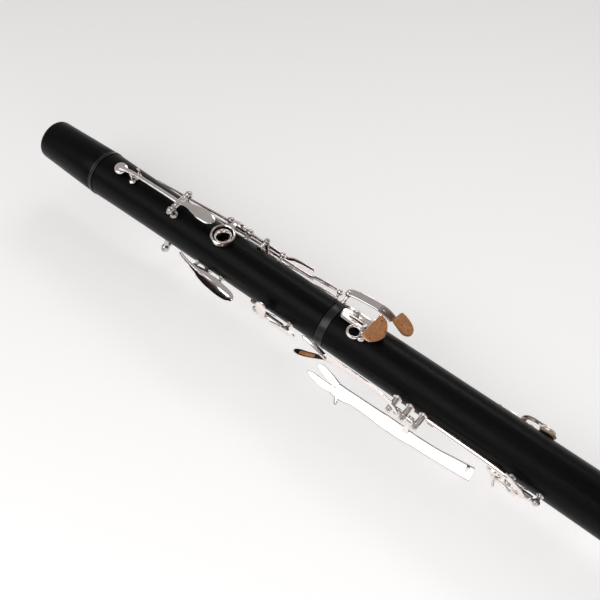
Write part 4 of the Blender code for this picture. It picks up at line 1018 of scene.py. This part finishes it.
studio = {
    "floor": (0.80, 0.795, 0.795), "glow": (0.16, 0.60), "sky": (0.34, 0.335, 0.335), "horizon": (0.40, 0.385, 0.38),
    "warm": (0.10, 0.060, 0.045),
}
bm = bmesh.new()
bmesh.ops.create_grid(bm, x_segments=2, y_segments=2, size=6.0)
floorMesh = bpy.data.meshes.new("floor")
bm.to_mesh(floorMesh)
bm.free()
floor = bpy.data.objects.new("floor", floorMesh)
bpy.context.scene.collection.objects.link(floor)
mat, tree, shader = blankFinish("paleFloor")
haze = grainOf(tree, (3.0, 3.0, 3.0), 2.0, 0.5)
tree.links.new(mixOf(tree, haze, studio["floor"], (0.82, 0.815, 0.815)), shader.inputs["Base Color"])
shader.inputs["Roughness"].default_value = 0.5
# the table glows softly, brighter towards the player's side, so that shadows stay faint
where = add(tree, "TexCoord", {}).outputs["Object"]
slope = add(tree, "VectorMath", {0: where, 1: (0.55, -0.83, 0.0)}, operation="DOT_PRODUCT").outputs["Value"]
tree.links.new(rangeOf(tree, slope, -0.55, 0.25, *studio["glow"]), shader.inputs["Emission Strength"])
shader.inputs["Emission Color"].default_value = (1.0, 0.99, 0.985, 1.0)
floorMesh.materials.append(mat)

world = bpy.data.worlds.new("studio")
bpy.context.scene.world = world
world.use_nodes = True
tree = world.node_tree
sight = add(tree, "TexCoord", {}).outputs["Generated"]
height = add(tree, "SeparateXYZ", {"Vector": sight}).outputs["Z"]
room = mixOf(tree, rangeOf(tree, height, 0.0, 0.75, 0.0, 1.0), studio["horizon"], studio["sky"])
toWarm = add(tree, "VectorMath", {0: sight, 1: (0.53, -0.27, 0.80)}, operation="DOT_PRODUCT").outputs["Value"]
room = mixOf(tree, rangeOf(tree, toWarm, 0.75, 0.97, 0.0, 1.0), room, studio["warm"])
tree.links.new(room, tree.nodes["Background"].inputs["Color"])


def softbox(name, place, aim, width, height, power, tint=(1, 1, 1)):
    light = bpy.data.lights.new(name, "AREA")
    light.shape, light.size, light.size_y, light.energy, light.color = "RECTANGLE", width, height, power, tint
    obj = bpy.data.objects.new(name, light)
    obj.location = place
    obj.rotation_mode = "QUATERNION"
    obj.rotation_quaternion = (Vector(aim) - Vector(place)).to_track_quat("-Z", "Y")
    bpy.context.scene.collection.objects.link(obj)
    return obj


softbox("leftSoftbox", (-0.55, -1.0, 1.2), (0.0, 0, 0.02), 1.2, 1.0, 7)
softbox("backSoftbox", (-0.35, 1.15, 1.0), (0.1, 0, 0.03), 0.8, 0.3, 3.2)
softbox("frontSoftbox", (1.1, -1.0, 0.9), (0.1, 0, 0.03), 0.9, 0.9, 3)

camera = {"place": (0.135095, -0.248288, 0.499021), "azimuth": 39.352, "elevation": 54.882, "lens": 56.0}
cam = bpy.data.objects.new("camera", bpy.data.cameras.new("camera"))
a, e = math.radians(camera["azimuth"]), math.radians(camera["elevation"])
back = Vector((math.sin(a) * math.cos(e), -math.cos(a) * math.cos(e), math.sin(e)))
right = Vector((0, 0, 1)).cross(back).normalized()
turn = Matrix((right, back.cross(right), back)).transposed()
cam.rotation_mode = "QUATERNION"
cam.rotation_quaternion = turn.to_quaternion()
cam.location = camera["place"]
cam.data.lens, cam.data.sensor_width = camera["lens"], 36.0
cam.data.clip_start, cam.data.clip_end = 0.01, 30.0
bpy.context.scene.collection.objects.link(cam)
bpy.context.scene.camera = cam
bpy.context.scene.view_settings.view_transform = "Standard"

print("scene ready")
